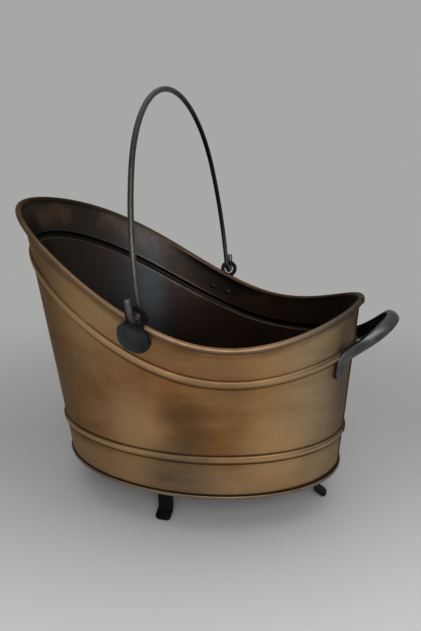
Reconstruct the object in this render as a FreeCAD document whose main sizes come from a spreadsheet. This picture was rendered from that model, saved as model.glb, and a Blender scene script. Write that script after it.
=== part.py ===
import FreeCAD, Part
import math
import os
import Sketcher
from FreeCAD import Matrix, Placement, Rotation, Vector

# A helmet-shaped log bucket: an oval brass wall with a tall lip, a folded base on four strap feet,
# a strap handle on the tail end and a wire bail that swings in two riveted ears.
# The floor is Z = 0, X runs from the lip (minus) to the tail (plus), and the near side is minus Y.

# Driving sizes in millimetres and degrees. A flare is millimetres outward per millimetre of height.
SIZES = (
    ("oval_centre", -2.8, "widest line of the oval, from the middle of the whole length"),
    ("base_height", 44.0, "floor to the underside of the base"),
    ("base_lip_half", 180.6, "base oval, widest line to the lip end"),
    ("base_tail_half", 176.3, "base oval, widest line to the tail end"),
    ("base_half_width", 129.6, "base oval, middle to the side"),
    ("lip_flare", 0.13, "outward lean of the wall at the lip end"),
    ("tail_flare", 0.08, "outward lean of the wall at the tail end"),
    ("side_flare", 0.15, "outward lean of the wall at the sides"),
    ("sheet", 1.2, "thickness of the brass sheet"),
    ("seam_height", 4.6, "height of the folded seam round the base"),
    ("seam_reach", 2.6, "how far the folded seam stands out from the wall"),
    ("seam_edge", 0.9, "bevel on the folded seam"),
    ("lower_bead_height", 50.9, "lower bead above the underside of the base"),
    ("bead_half_width", 4.6, "half the width of a rolled bead"),
    ("bead_rise", 2.8, "how far a bead stands out"),
    ("rim_lip_height", 365.8, "rim above the floor at the lip"),
    ("rim_shoulder_height", 301.8, "rim above the floor halfway to the lip"),
    ("rim_side_height", 241.9, "rim above the floor at the widest line"),
    ("rim_dip_height", 223.3, "rim above the floor halfway to the tail"),
    ("rim_tail_height", 254.1, "rim above the floor at the tail"),
    ("bead_lip_drop", 45.8, "upper bead below the rim at the lip"),
    ("bead_shoulder_drop", 51.4, "upper bead below the rim halfway to the lip"),
    ("bead_side_drop", 42.5, "upper bead below the rim at the widest line"),
    ("bead_dip_drop", 38.5, "upper bead below the rim halfway to the tail"),
    ("bead_tail_drop", 50.8, "upper bead below the rim at the tail"),
    ("rim_wire_diameter", 4.7, "wire inside the curled rim"),
    ("rim_fit", 0.05, "clearance between the rim wire and the curl"),
    ("rim_neck", 9.0, "where the wall starts to bend, below the rim"),
    ("lip_kick", 6.3, "rim outside the line of the wall at the lip"),
    ("side_kick", 0.8, "rim outside the line of the wall at the sides"),
    ("tail_kick", 1.4, "rim outside the line of the wall at the tail"),
    ("ear_angle", 95.6, "plan angle of the ears from the tail end"),
    ("ear_drop", 15.1, "centre of the ear plate below the rim"),
    ("ear_turn", 6.6, "how far an ear stands straighter than square to the rim"),
    ("ear_plate_width", 39.0, "round-ended plate of an ear, along the rim"),
    ("ear_plate_height", 33.0, "round-ended plate of an ear, square to the rim"),
    ("ear_ring_diameter", 24.2, "ring of an ear"),
    ("ear_eye_diameter", 13.4, "eye of an ear"),
    ("ear_eye_rise", 26.0, "eye above the centre of the plate"),
    ("ear_neck_fillet", 5.0, "fillet between plate and ring"),
    ("ear_thickness", 3.0, "iron plate of an ear"),
    ("ear_bend", 4.0, "bend radius of an ear at mid thickness"),
    ("ear_bend_angle", 45.0, "slope of the step that carries an ear past the rim"),
    ("ear_gap", 0.25, "ear clear of the curled rim"),
    ("ear_rivet_spacing", 25.4, "between the two rivets of an ear"),
    ("ear_rivet_drop", 7.2, "rivets of an ear below the centre of its plate"),
    ("bedding", 0.5, "depth that a seat is hollowed to the curve of the wall"),
    ("rivet_diameter", 5.0, "shank of a rivet"),
    ("rivet_head_diameter", 8.0, "head of a rivet"),
    ("rivet_head_height", 2.0, "dome of a rivet head"),
    ("rivet_fit", 0.06, "clearance round and under a rivet"),
    ("bail_rod", 6.3, "rod of the bail"),
    ("bail_rise", 239.0, "hinge line to the top of the bail, at the rod's centre"),
    ("bail_top_radius", 145.0, "top arc of the bail"),
    ("bail_leg_height", 25.0, "straight leg of the bail above the hinge line"),
    ("bail_lean", 6.1, "lean of the bail towards the lip at rest"),
    ("bail_fit", 0.78, "bail rod above the bottom of the eye at rest"),
    ("hook_radius", 10.4, "bend of a hook at the rod's centre"),
    ("hook_out", 1.6, "middle of a hook's bend outside the middle of the ear's ring"),
    ("hook_stub", 12.0, "straight end of a hook"),
    ("hook_splay", 10.0, "outward lean of a hook's end"),
    ("handle_reach", 38.95, "tip of the strap handle out from the wall"),
    ("handle_drop", 17.4, "tip of the strap handle below the rim"),
    ("handle_tip_tilt", 54.4, "upward look of the strap's outer face at the tip, in degrees"),
    ("handle_tip_pull", 45.0, "sideways pull that rounds the tip of the strap handle"),
    ("handle_leg_back", 33.7, "pull point of a leg, back from the tip"),
    ("handle_leg_drop", 38.7, "pull point of a leg, below the tip"),
    ("handle_leg_side", 19.6, "pull point of a leg, to the side of the tip"),
    ("handle_sweep", 15.9, "pull that eases the turn from tab to leg"),
    ("handle_width", 14.7, "strap width of the handle"),
    ("handle_thickness", 4.2, "strap thickness of the handle at its edges"),
    ("handle_dome", 2.5, "rise of the strap's rounded outer face on the loop"),
    ("tab_dome", 0.1, "rise of the strap's outer face on a tab"),
    ("tab_angle", 20.4, "plan angle of the handle's tabs from the tail end"),
    ("tab_drop", 75.2, "lower end of a tab below the rim"),
    ("tab_length", 16.4, "flat length of a tab"),
    ("tab_rivet_spacing", 9.4, "between the two rivets of a tab"),
    ("side_foot_place", -13.5, "near and far feet from the widest line"),
    ("side_foot_inset", 14.6, "toe of a side foot inside the base outline"),
    ("end_foot_inset", 12.5, "toe of an end foot inside the base outline"),
    ("foot_width", 18.5, "strap width of a foot"),
    ("foot_thickness", 3.0, "strap thickness of a foot"),
    ("foot_tab", 34.0, "fixing tab of a foot under the base"),
    ("foot_bend", 4.0, "bend radius of a foot at mid thickness"),
    ("foot_toe_angle", 33.0, "slope of the toe"),
    ("foot_toe_reach", 13.0, "toe outside the leg of a foot"),
    ("foot_toe_round", 5.0, "rounded corner of a toe"),
    ("foot_rivet_spacing", 15.0, "between the two rivets of a foot"),
    ("foot_rivet_edge", 9.0, "first rivet of a foot from the end of its tab"),
)

STATIONS = ("lip", "shoulder", "side", "dip", "tail")
STATION_COSINES = (-1.0, -0.5, 0.0, 0.5, 1.0)
RIM_STATIONS = ["rim_%s_height" % station for station in STATIONS]
DROP_STATIONS = ["bead_%s_drop" % station for station in STATIONS]

# Counts that set how finely the curves are divided.
HALF_OVAL_SPANS = 20
BEAD_STEPS = 4
CURL_STEPS = 9
HANDLE_STEPS = 18
TAB_END_STEPS = 4

# Share of the way from tab to tip by which the strap's outer face is fully rounded.
DOME_FULL = 0.45

# The rim is curled from inside the wall, over the top and round to below the wire.
CURL_START = math.radians(200)
CURL_END = math.radians(-110)
SMALL_TURN = 0.01

doc = FreeCAD.newDocument("LogBucket")
sheet = doc.addObject("Spreadsheet::Sheet", "Sizes")
for row, (alias, value, words) in enumerate(SIZES, start=1):
    sheet.set("A%d" % row, words)
    sheet.set("B%d" % row, str(value))
    sheet.setAlias("B%d" % row, alias)
doc.recompute()


def size(alias):
    """One driving size from the sheet."""
    return float(sheet.get(alias))


# The oval wall

def half_length(angle, height):
    """Length of the oval from its widest line, towards the end that the angle looks at."""
    rise = height - size("base_height")
    if math.cos(angle) < 0:
        return size("base_lip_half") + size("lip_flare") * rise
    return size("base_tail_half") + size("tail_flare") * rise


def plan_point(angle, height, offset=0.0):
    """Point of the wall's straight outer face, moved outward by the offset."""
    length = half_length(angle, height)
    width = size("base_half_width") + size("side_flare") * (height - size("base_height"))
    outward = Vector(math.cos(angle) / length, math.sin(angle) / width, 0).normalize()
    on_wall = Vector(size("oval_centre") + length * math.cos(angle), width * math.sin(angle), height)
    return on_wall + outward * offset


def through_stations(aliases, angle):
    """Smooth value at a plan angle, through the five values set from lip to tail."""
    where = math.cos(angle)
    total = 0.0
    for alias, own in zip(aliases, STATION_COSINES):
        weight = 1.0
        for other in STATION_COSINES:
            if other != own:
                weight *= (where - other) / (own - other)
        total += weight * size(alias)
    return total


def rim_height(angle):
    """Height of the rim's centre."""
    return through_stations(RIM_STATIONS, angle)


def rim_kick(angle):
    """How far the rim stands outside the straight wall."""
    end_kick = size("lip_kick") if math.cos(angle) < 0 else size("tail_kick")
    return size("side_kick") + (end_kick - size("side_kick")) * math.cos(angle) ** 2


def rim_slope(angle):
    """Climb of the rim per millimetre of plan, going round anticlockwise."""
    nearby = (angle - SMALL_TURN, angle + SMALL_TURN)
    before, after = [plan_point(place, rim_height(place)) for place in nearby]
    return (after.z - before.z) / math.hypot(after.x - before.x, after.y - before.y)


def rim_stretch(angle):
    """Upright distance for each millimetre square to the sloping rim."""
    return math.hypot(1.0, rim_slope(angle))


def at_height(height, offset):
    """Level line round the wall."""
    return lambda angle: plan_point(angle, height, offset)


def below_rim(distance, offset):
    """Line that follows the rim below it."""
    return lambda angle: plan_point(angle, rim_height(angle) - distance * rim_stretch(angle), offset)


def bead_height(angle):
    """Height of the upper bead's middle."""
    return rim_height(angle) - through_stations(DROP_STATIONS, angle)


def along_upper_bead(across, offset):
    """Line that follows the upper bead, across from its middle."""
    return lambda angle: plan_point(angle, bead_height(angle) + across * rim_stretch(angle), offset)


def round_rim(turn, radius):
    """Line that follows the rim at a turn round its wire."""
    return lambda angle: plan_point(
        angle,
        rim_height(angle) + radius * math.sin(turn) * rim_stretch(angle),
        rim_kick(angle) + radius * math.cos(turn))


def half_ovals(place):
    """Near and far half of a closed line through the points that place gives."""
    halves = []
    for start in (-math.pi, 0.0):
        angles = [start + math.pi * step / HALF_OVAL_SPANS for step in range(HALF_OVAL_SPANS + 1)]
        curve = Part.BSplineCurve()
        curve.interpolate(Points=[place(angle) for angle in angles], Parameters=angles)
        halves.append(curve.toShape())
    return halves


def oval_loft(places, is_ring):
    """Solid ruled from line to line, closed into a ring or capped at both ends."""
    lines = [half_ovals(place) for place in places]
    pairs = list(zip(lines, lines[1:]))
    faces = []
    if is_ring:
        pairs.append((lines[-1], lines[0]))
    else:
        faces = [Part.Face(Part.Wire(halves)) for halves in (lines[0], lines[-1])]
    for lower, upper in pairs:
        faces += [Part.makeRuledSurface(*halves) for halves in zip(lower, upper)]
    shell = Part.makeShell(faces)
    shell.sewShape()
    solid = Part.makeSolid(shell)
    if solid.Volume < 0:
        solid.reverse()
    return solid


def bead_section():
    """Round bead as steps across it, each with how far it stands out."""
    half = size("bead_half_width")
    rise = size("bead_rise")
    radius = (half * half + rise * rise) / (2 * rise)
    section = []
    for step in range(BEAD_STEPS + 1):
        across = half * (2 * step / BEAD_STEPS - 1)
        section.append((across, math.sqrt(radius * radius - across * across) - radius + rise))
    return section


def curl_turns():
    """Turns round the wire from the start of the curl to its end."""
    return [CURL_START + (CURL_END - CURL_START) * step / CURL_STEPS for step in range(CURL_STEPS + 1)]


def rim_radius():
    """Outside radius of the curled rim."""
    return size("rim_wire_diameter") / 2 + size("rim_fit") + size("sheet")


def wall_face_lines(inward):
    """Lines up one face of the sheet, from its foot to the curl."""
    foot = size("base_height")
    lower = foot + size("lower_bead_height")
    lines = [at_height(foot + size("sheet"), -inward)]
    lines += [at_height(lower + across, bump - inward) for across, bump in bead_section()]
    lines += [along_upper_bead(across, bump - inward) for across, bump in bead_section()]
    lines.append(below_rim(size("rim_neck"), -inward))
    lines += [round_rim(turn, rim_radius() - size("sheet") + inward) for turn in curl_turns()]
    return lines


def wall_solid():
    """The whole sheet: up the outside, over the curl and down the inside."""
    return oval_loft(wall_face_lines(0.0) + wall_face_lines(size("sheet"))[::-1], True)


def seat_solid():
    """The space behind the wall's outer face up to its neck, to hollow what sits on the wall."""
    outside = wall_face_lines(0.0)[:-len(curl_turns())]
    depth = size("handle_width")
    behind = [below_rim(size("rim_neck"), -depth), at_height(size("base_height") + size("sheet"), -depth)]
    return oval_loft(outside + behind, True)


def rim_wire_solid():
    """Wire that fills the curl."""
    return oval_loft([round_rim(turn, size("rim_wire_diameter") / 2) for turn in curl_turns()], True)


def base_solid():
    """Bottom plate with its edge folded up round the foot of the wall."""
    foot = size("base_height")
    top = foot + size("seam_height")
    edge = size("seam_edge")
    reach = size("seam_reach")
    lines = [
        at_height(foot, reach - edge),
        at_height(foot + edge, reach),
        at_height(top - edge, reach),
        at_height(top, reach - edge),
        at_height(top, 0.0),
        at_height(foot + size("sheet"), 0.0),
    ]
    return oval_loft(lines, False)


# Places on the wall

def frame(origin, along, up, outward):
    """Placement with X along, Y up and Z outward."""
    return Placement(Matrix(
        along.x, up.x, outward.x, origin.x,
        along.y, up.y, outward.y, origin.y,
        along.z, up.z, outward.z, origin.z,
        0, 0, 0, 1))


def wall_steps(angle, height):
    """Steps on the wall's straight face, for a small turn along it and for one millimetre of height."""
    along = plan_point(angle + SMALL_TURN / 2, height) - plan_point(angle - SMALL_TURN / 2, height)
    return along, plan_point(angle, height + 1) - plan_point(angle, height)


def wall_frame(angle, height, offset=0.0):
    """Placement on the wall's outer face: X anticlockwise along it, Y up it, Z outward."""
    along, climb = wall_steps(angle, height)
    along.normalize()
    outward = along.cross(climb).normalize()
    return frame(plan_point(angle, height) + outward * offset, along, outward.cross(along), outward)


def step_on_wall(angle, height, along, up):
    """Plan angle and height of a point some way along and up the wall."""
    turn_step, height_step = wall_steps(angle, height)
    return angle + along * SMALL_TURN / turn_step.Length, height + up / height_step.Length


# Document helpers

def feature(label, shape):
    """Sub-part whose shape is set directly."""
    made = doc.addObject("Part::Feature", label)
    made.Label = label
    made.Shape = shape
    return made


def cut(label, base, tools):
    """Sub-part that is its base less some tools that stand apart."""
    group = doc.addObject("Part::Compound", label + "_tools")
    group.Links = tools
    made = doc.addObject("Part::Cut", label)
    made.Label = label
    made.Base = base
    made.Tool = group
    made.Refine = False
    return made


def seated(label, base, seat, holes):
    """Sub-part that is hollowed to its seat and then drilled."""
    return cut(label, cut(label + "_blank", base, [seat]), holes)


def origin_plane(body, role):
    """One of a body's own origin planes."""
    return [plane for plane in body.Origin.OriginFeatures if plane.Role == role][0]


def new_sketch(body, name, role):
    """Sketch on one of the body's origin planes."""
    sketch = body.newObject("Sketcher::SketchObject", name)
    sketch.AttachmentSupport = [(origin_plane(body, role), "")]
    sketch.MapMode = "FlatFace"
    return sketch


def measure(sketch, formula, kind, *where):
    """Dimension whose value follows a formula of the sheet."""
    at = sketch.addConstraint(Sketcher.Constraint(kind, *where))
    sketch.setExpression("Constraints[%d]" % at, formula)


def join_smoothly(sketch, pairs):
    """Make edges meet end to end with a common direction."""
    for first, first_end, second, second_end in pairs:
        sketch.addConstraint(Sketcher.Constraint("Tangent", first, first_end, second, second_end))


def line(start, end):
    """Straight edge of a sketch."""
    return Part.LineSegment(Vector(*start, 0), Vector(*end, 0))


def arc(centre, radius, start, end):
    """Round edge of a sketch, anticlockwise between two angles."""
    return Part.ArcOfCircle(Part.Circle(Vector(*centre, 0), Vector(0, 0, 1), radius), start, end)


def rectangle(sketch, left, right, bottom, top):
    """Closed rectangle whose four sides follow formulas, with their present values."""
    corners = [(left[1], bottom[1]), (right[1], bottom[1]), (right[1], top[1]), (left[1], top[1])]
    first = sketch.GeometryCount
    for corner, following in zip(corners, corners[1:] + corners[:1]):
        sketch.addGeometry(line(corner, following), False)
    for side in range(4):
        sketch.addConstraint(Sketcher.Constraint("Coincident", first + side, 2, first + (side + 1) % 4, 1))
        direction = "Horizontal" if side % 2 == 0 else "Vertical"
        sketch.addConstraint(Sketcher.Constraint(direction, first + side))
    measure(sketch, left[0], "DistanceX", -1, 1, first, 1, left[1])
    measure(sketch, right[0], "DistanceX", -1, 1, first, 2, right[1])
    measure(sketch, bottom[0], "DistanceY", -1, 1, first, 1, bottom[1])
    measure(sketch, top[0], "DistanceY", -1, 1, first + 2, 1, top[1])


def bent_pipe(body, path, profile):
    """Profile swept along a path of lines and arcs."""
    doc.recompute()
    pipe = body.newObject("PartDesign::AdditivePipe", body.Name + "_pipe")
    pipe.Profile = profile
    pipe.Spine = (path, ["Edge%d" % (edge + 1) for edge in range(len(path.Shape.Edges))])
    path.Visibility = False
    doc.recompute()
    return pipe


# Rivets

def rivet(name, place, grip):
    """Rivet with its head on Z = 0 looking up, and a shank as long as the grip below it."""
    shank = doc.addObject("Part::Cylinder", name + "_shank")
    shank.setExpression("Radius", "Sizes.rivet_diameter / 2")
    shank.setExpression("Height", grip)
    shank.setExpression("Placement.Base.z", "-(%s)" % grip)
    dome = doc.addObject("Part::Sphere", name + "_dome")
    head = "Sizes.rivet_head_height"
    ball = "((Sizes.rivet_head_diameter / 2) ^ 2 + %s ^ 2) / (2 * %s)" % (head, head)
    dome.setExpression("Radius", ball)
    dome.setExpression("Angle1", "asin(1 - %s / (%s))" % (head, ball))
    dome.setExpression("Placement.Base.z", "%s - %s" % (head, ball))
    whole = doc.addObject("Part::Fuse", name)
    whole.Base = dome
    whole.Tool = shank
    whole.Placement = place
    return whole


def rivet_hole(name, place, reach):
    """Drill for a rivet, reaching as far each way."""
    hole = doc.addObject("Part::Cylinder", name)
    hole.setExpression("Radius", "Sizes.rivet_diameter / 2 + Sizes.rivet_fit")
    hole.Height = 2 * reach
    hole.Placement = place.multiply(Placement(Vector(0, 0, -reach), Rotation()))
    return hole


def rivet_group(label, places, grip):
    """Rivets that share a node, and the holes they go through."""
    rivets = []
    holes = []
    reach = 3 * size("rivet_diameter")
    for number, place in enumerate(places, start=1):
        rivets.append(rivet("%s_%d" % (label, number), place, grip))
        holes.append(rivet_hole("%s_hole_%d" % (label, number), place, reach))
    group = doc.addObject("Part::Compound", label)
    group.Label = label
    group.Links = rivets
    return group, holes


def head_inside(angle, height):
    """Placement of a rivet whose head lies on the inside of the wall."""
    turned = Placement(Vector(0, 0, -size("sheet") - size("rivet_fit")), Rotation(Vector(1, 0, 0), 180))
    return wall_frame(angle, height).multiply(turned)


# Ears

def ear_spot(side):
    """Plan angle, height and tilt of the ear on the near (minus) or far (plus) side."""
    angle = side * math.radians(size("ear_angle"))
    height = rim_height(angle) - size("ear_drop") * rim_stretch(angle)
    tilt = math.atan(rim_slope(angle)) - side * math.radians(size("ear_turn"))
    return angle, height, tilt


def ear_frame(side):
    """Placement of an ear: Y up towards its eye and Z outward."""
    angle, height, tilt = ear_spot(side)
    turned = Placement(Vector(), Rotation(Vector(0, 0, 1), math.degrees(tilt)))
    return wall_frame(angle, height).multiply(turned)


def ear_plate(label, side):
    """Iron strap stepped out past the rim, cut to a round-ended plate below a ring."""
    body = doc.addObject("PartDesign::Body", label)
    wide = size("ear_plate_width") / 2
    tall = size("ear_plate_height") / 2
    ring = size("ear_ring_diameter") / 2
    rise = size("ear_eye_rise")
    fillet = size("ear_neck_fillet")
    bend = size("ear_bend")
    angle = math.radians(size("ear_bend_angle"))
    thick = size("ear_thickness") + size("bedding")
    middle = (size("ear_thickness") - size("bedding")) / 2
    step = size("side_kick") + rim_radius() + size("ear_gap") + size("bedding")
    slant = ring * math.tan(math.radians(size("ear_turn")))
    step_end = size("ear_drop") - rim_radius() - size("ear_gap") - slant
    slope = (step - 2 * bend * (1 - math.cos(angle))) / math.sin(angle)
    step_start = step_end - 2 * bend * math.sin(angle) - slope * math.cos(angle)
    low = (step_start + bend * math.sin(angle), middle + bend * (1 - math.cos(angle)))
    high = (low[0] + slope * math.cos(angle), low[1] + slope * math.sin(angle))

    path = new_sketch(body, label + "_path", "YZ_Plane")
    path.addGeometry([
        line((-tall - thick, middle), (step_start, middle)),
        arc((step_start, middle + bend), bend, -math.pi / 2, angle - math.pi / 2),
        line(low, high),
        arc((step_end, middle + step - bend), bend, math.pi / 2, math.pi / 2 + angle),
        line((step_end, middle + step), (rise + ring + thick, middle + step)),
    ], False)
    join_smoothly(path, [(0, 2, 1, 1), (1, 2, 2, 1), (2, 2, 3, 2), (3, 1, 4, 1)])
    path.addConstraint([Sketcher.Constraint("Horizontal", 0), Sketcher.Constraint("Horizontal", 4)])
    low_end = "-(Sizes.ear_plate_height / 2 + Sizes.ear_thickness + Sizes.bedding)"
    top_end = "Sizes.ear_eye_rise + Sizes.ear_ring_diameter / 2 + Sizes.ear_thickness + Sizes.bedding"
    rim = "Sizes.rim_wire_diameter / 2 + Sizes.rim_fit + Sizes.sheet + Sizes.ear_gap"
    middle_formula = "(Sizes.ear_thickness - Sizes.bedding) / 2"
    measure(path, low_end, "DistanceX", -1, 1, 0, 1, -tall - thick)
    measure(path, middle_formula, "DistanceY", -1, 1, 0, 1, middle)
    measure(path, "Sizes.ear_bend", "Radius", 1, bend)
    measure(path, "Sizes.ear_bend", "Radius", 3, bend)
    measure(path, "Sizes.ear_bend_angle", "Angle", -1, 1, 2, 1, angle)
    slant_formula = "Sizes.ear_ring_diameter / 2 * tan(Sizes.ear_turn)"
    measure(path, "Sizes.ear_drop - (%s) - %s" % (rim, slant_formula), "DistanceX", -1, 1, 4, 1, step_end)
    measure(path, "%s + Sizes.side_kick + %s + Sizes.bedding" % (middle_formula, rim),
            "DistanceY", -1, 1, 4, 1, middle + step)
    measure(path, top_end, "DistanceX", -1, 1, 4, 2, rise + ring + thick)

    strap = new_sketch(body, label + "_strap", "XZ_Plane")
    half = wide + thick
    half_formula = "Sizes.ear_plate_width / 2 + Sizes.ear_thickness + Sizes.bedding"
    strap.AttachmentOffset = Placement(Vector(0, 0, tall + thick), Rotation())
    strap.setExpression("AttachmentOffset.Base.z", "-(%s)" % low_end)
    rectangle(strap, ("-(%s)" % half_formula, -half), (half_formula, half),
              ("-Sizes.bedding", -size("bedding")), ("Sizes.ear_thickness", size("ear_thickness")))
    bent_pipe(body, path, strap)

    # The neck fillets touch both the round ends of the plate and the ring.
    end_place = wide - tall
    apart = math.hypot(end_place, rise)
    along = ((tall + fillet) ** 2 - (ring + fillet) ** 2 + apart ** 2) / (2 * apart)
    aside = math.sqrt((tall + fillet) ** 2 - along ** 2)
    centre = (end_place + (rise * aside - end_place * along) / apart,
              (rise * along + end_place * aside) / apart)
    to_plate = math.atan2(-centre[1], end_place - centre[0])
    to_ring = math.atan2(rise - centre[1], -centre[0])
    outline = new_sketch(body, label + "_outline", "XY_Plane")
    outline.addGeometry([
        arc((end_place, 0), tall, -math.pi / 2, math.pi + to_plate),
        arc(centre, fillet, to_ring, to_plate + 2 * math.pi),
        arc((0, rise), ring, to_ring - math.pi, 2 * math.pi - to_ring),
        arc((-centre[0], centre[1]), fillet, math.pi - to_plate - 2 * math.pi, math.pi - to_ring),
        arc((-end_place, 0), tall, -to_plate, 1.5 * math.pi),
        line((-end_place, -tall), (end_place, -tall)),
    ], False)
    join_smoothly(outline, [
        (0, 2, 1, 2), (1, 1, 2, 1), (2, 2, 3, 2), (3, 1, 4, 1), (4, 2, 5, 1), (5, 2, 0, 1)])
    for geometry, axis in ((0, -1), (4, -1), (2, -2)):
        outline.addConstraint(Sketcher.Constraint("PointOnObject", geometry, 3, axis))
    end_formula = "(Sizes.ear_plate_width - Sizes.ear_plate_height) / 2"
    measure(outline, end_formula, "DistanceX", -1, 1, 0, 3, end_place)
    measure(outline, end_formula, "DistanceX", 4, 3, -1, 1, end_place)
    measure(outline, "Sizes.ear_eye_rise", "DistanceY", -1, 1, 2, 3, rise)
    measure(outline, "Sizes.ear_plate_height / 2", "Radius", 0, tall)
    measure(outline, "Sizes.ear_ring_diameter / 2", "Radius", 2, ring)
    measure(outline, "Sizes.ear_neck_fillet", "Radius", 1, fillet)
    measure(outline, "Sizes.ear_neck_fillet", "Radius", 3, fillet)
    border = (2 * wide + rise) * 2
    border_formula = "(Sizes.ear_plate_width + Sizes.ear_eye_rise) * 2"
    rectangle(outline, ("-" + border_formula, -border), (border_formula, border),
              ("-" + border_formula, -border), (border_formula, border))
    through_pocket(body, outline)

    eye = new_sketch(body, label + "_eye", "XY_Plane")
    eye.addGeometry(Part.Circle(Vector(0, rise, 0), Vector(0, 0, 1), size("ear_eye_diameter") / 2), False)
    eye.addConstraint(Sketcher.Constraint("PointOnObject", 0, 3, -2))
    measure(eye, "Sizes.ear_eye_rise", "DistanceY", -1, 1, 0, 3, rise)
    measure(eye, "Sizes.ear_eye_diameter / 2", "Radius", 0, size("ear_eye_diameter") / 2)
    through_pocket(body, eye)
    body.Placement = ear_frame(side)
    return body


def through_pocket(body, sketch):
    """Cut the sketch through the whole body, and make sure that it bit."""
    doc.recompute()
    before = body.Shape.Volume
    pocket = body.newObject("PartDesign::Pocket", sketch.Name + "_pocket")
    pocket.Profile = sketch
    pocket.Type = "ThroughAll"
    pocket.Midplane = True
    sketch.Visibility = False
    doc.recompute()
    if not body.Shape.Volume < before:
        raise RuntimeError("%s cut nothing" % pocket.Name)
    return pocket


def ear_rivet_places(side):
    """Placements of an ear's two rivets, side by side along the rim."""
    angle, height, tilt = ear_spot(side)
    drop = size("ear_rivet_drop")
    places = []
    for way in (-size("ear_rivet_spacing") / 2, size("ear_rivet_spacing") / 2):
        along = way * math.cos(tilt) + drop * math.sin(tilt)
        up = way * math.sin(tilt) - drop * math.cos(tilt)
        places.append(head_inside(*step_on_wall(angle, height, along, up)))
    return places


def eye_centre(side):
    """Middle of an ear's eye, halfway through the ring."""
    step = size("side_kick") + rim_radius() + size("ear_gap")
    middle = step + (size("ear_thickness") + size("bedding")) / 2
    return ear_frame(side).multVec(Vector(0, size("ear_eye_rise"), middle))


# Bail

def bail_hinge():
    """Point of the hinge line on the far side: the rod rests near the bottom of the eye."""
    eye = eye_centre(1)
    sag = (size("ear_eye_diameter") - size("bail_rod")) / 2 - size("bail_fit")
    return eye - Vector(0, 0, sag)


def bail_body():
    """Round rod in a three-centred arch, with a hook at each end that goes out through an eye and up."""
    body = doc.addObject("PartDesign::Body", "bail_handle")
    hinge = bail_hinge()
    sheet.set("D1", str(hinge.y))
    sheet.setAlias("D1", "bail_half_span")
    doc.recompute()
    hook = size("hook_radius")
    hook_middle = hinge.y + size("hook_out")
    side = hook_middle - hook
    top = size("bail_top_radius")
    leg = size("bail_leg_height")
    rise = size("bail_rise")
    splay = math.radians(size("hook_splay"))
    drop = rise - top - leg
    flank = (side * side + drop * drop - top * top) / (2 * (side - top))
    shoulder = math.atan2(drop, flank - side)
    end = (hook_middle + hook * math.cos(splay), hook - hook * math.sin(splay))
    stub = size("hook_stub")
    tip = (end[0] + stub * math.sin(splay), end[1] + stub * math.cos(splay))

    path = new_sketch(body, "bail_path", "XY_Plane")
    path.addGeometry([
        arc((0, rise - top), top, shoulder, math.pi / 2),
        arc((side - flank, leg), flank, 0, shoulder),
        line((side, leg), (side, hook)),
        arc((hook_middle, hook), hook, math.pi, 2 * math.pi - splay),
        line(end, tip),
    ], False)
    join_smoothly(path, [(0, 1, 1, 2), (1, 1, 2, 1), (2, 2, 3, 1), (3, 2, 4, 1)])
    path.addConstraint(Sketcher.Constraint("PointOnObject", 0, 3, -2))
    path.addConstraint(Sketcher.Constraint("PointOnObject", 0, 2, -2))
    path.addConstraint(Sketcher.Constraint("Vertical", 2))
    measure(path, "Sizes.bail_rise", "DistanceY", -1, 1, 0, 2, rise)
    measure(path, "Sizes.bail_top_radius", "Radius", 0, top)
    measure(path, "Sizes.bail_leg_height", "DistanceY", -1, 1, 2, 1, leg)
    measure(path, "Sizes.hook_radius", "Radius", 3, hook)
    measure(path, "Sizes.bail_half_span + Sizes.hook_out", "DistanceX", -1, 1, 3, 3, hook_middle)
    measure(path, "Sizes.hook_radius", "DistanceY", -1, 1, 3, 3, hook)
    measure(path, "Sizes.hook_stub", "Distance", 4, stub)
    measure(path, "90 - Sizes.hook_splay", "Angle", -1, 1, 4, 1, math.pi / 2 - splay)

    section = new_sketch(body, "bail_section", "YZ_Plane")
    section.addGeometry(Part.Circle(Vector(rise, 0, 0), Vector(0, 0, 1), size("bail_rod") / 2), False)
    section.addConstraint(Sketcher.Constraint("PointOnObject", 0, 3, -1))
    measure(section, "Sizes.bail_rise", "DistanceX", -1, 1, 0, 3, rise)
    measure(section, "Sizes.bail_rod / 2", "Radius", 0, size("bail_rod") / 2)
    pipe = bent_pipe(body, path, section)

    mirrored = body.newObject("PartDesign::Mirrored", "bail_mirror")
    mirrored.Originals = [pipe]
    mirrored.MirrorPlane = (origin_plane(body, "YZ_Plane"), [""])
    body.Tip = mirrored
    lean = math.radians(size("bail_lean"))
    sideways = Vector(0, 1, 0)
    upward = Vector(-math.sin(lean), 0, math.cos(lean))
    body.Placement = frame(Vector(hinge.x, 0, hinge.z), sideways, upward, sideways.cross(upward))
    return body


# Strap handle

def tab_spot(side):
    """Plan angle and lower height of a tab of the strap handle."""
    angle = side * math.radians(size("tab_angle"))
    return angle, rim_height(angle) - size("tab_drop")


def strap_section(place, width, dome):
    """Points of the strap's cross section: three along its domed outer face, then the inner two."""
    half = width / 2
    thick = size("handle_thickness") / 2
    points = [(half, thick), (0, thick + dome), (-half, thick), (-half, -thick), (half, -thick)]
    return [place.multVec(Vector(across, 0, out)) for across, out in points]


def section_wire(points):
    """Closed wire of a strap section: one arc over the outer face and three straight edges."""
    first, crest, second, third, fourth = points
    edges = [Part.Arc(first, crest, second).toShape()]
    for start, end in ((second, third), (third, fourth), (fourth, first)):
        edges.append(Part.makeLine(start, end))
    return Part.Wire(edges)


def ease_in_out(part):
    """Part from nought to one that starts and stops gently."""
    return part * part * (3 - 2 * part)


def pulled_curve(pulls, part):
    """Point of the smooth curve that is drawn along a row of pull points."""
    while len(pulls) > 1:
        pulls = [first + (second - first) * part for first, second in zip(pulls, pulls[1:])]
    return pulls[0]


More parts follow.
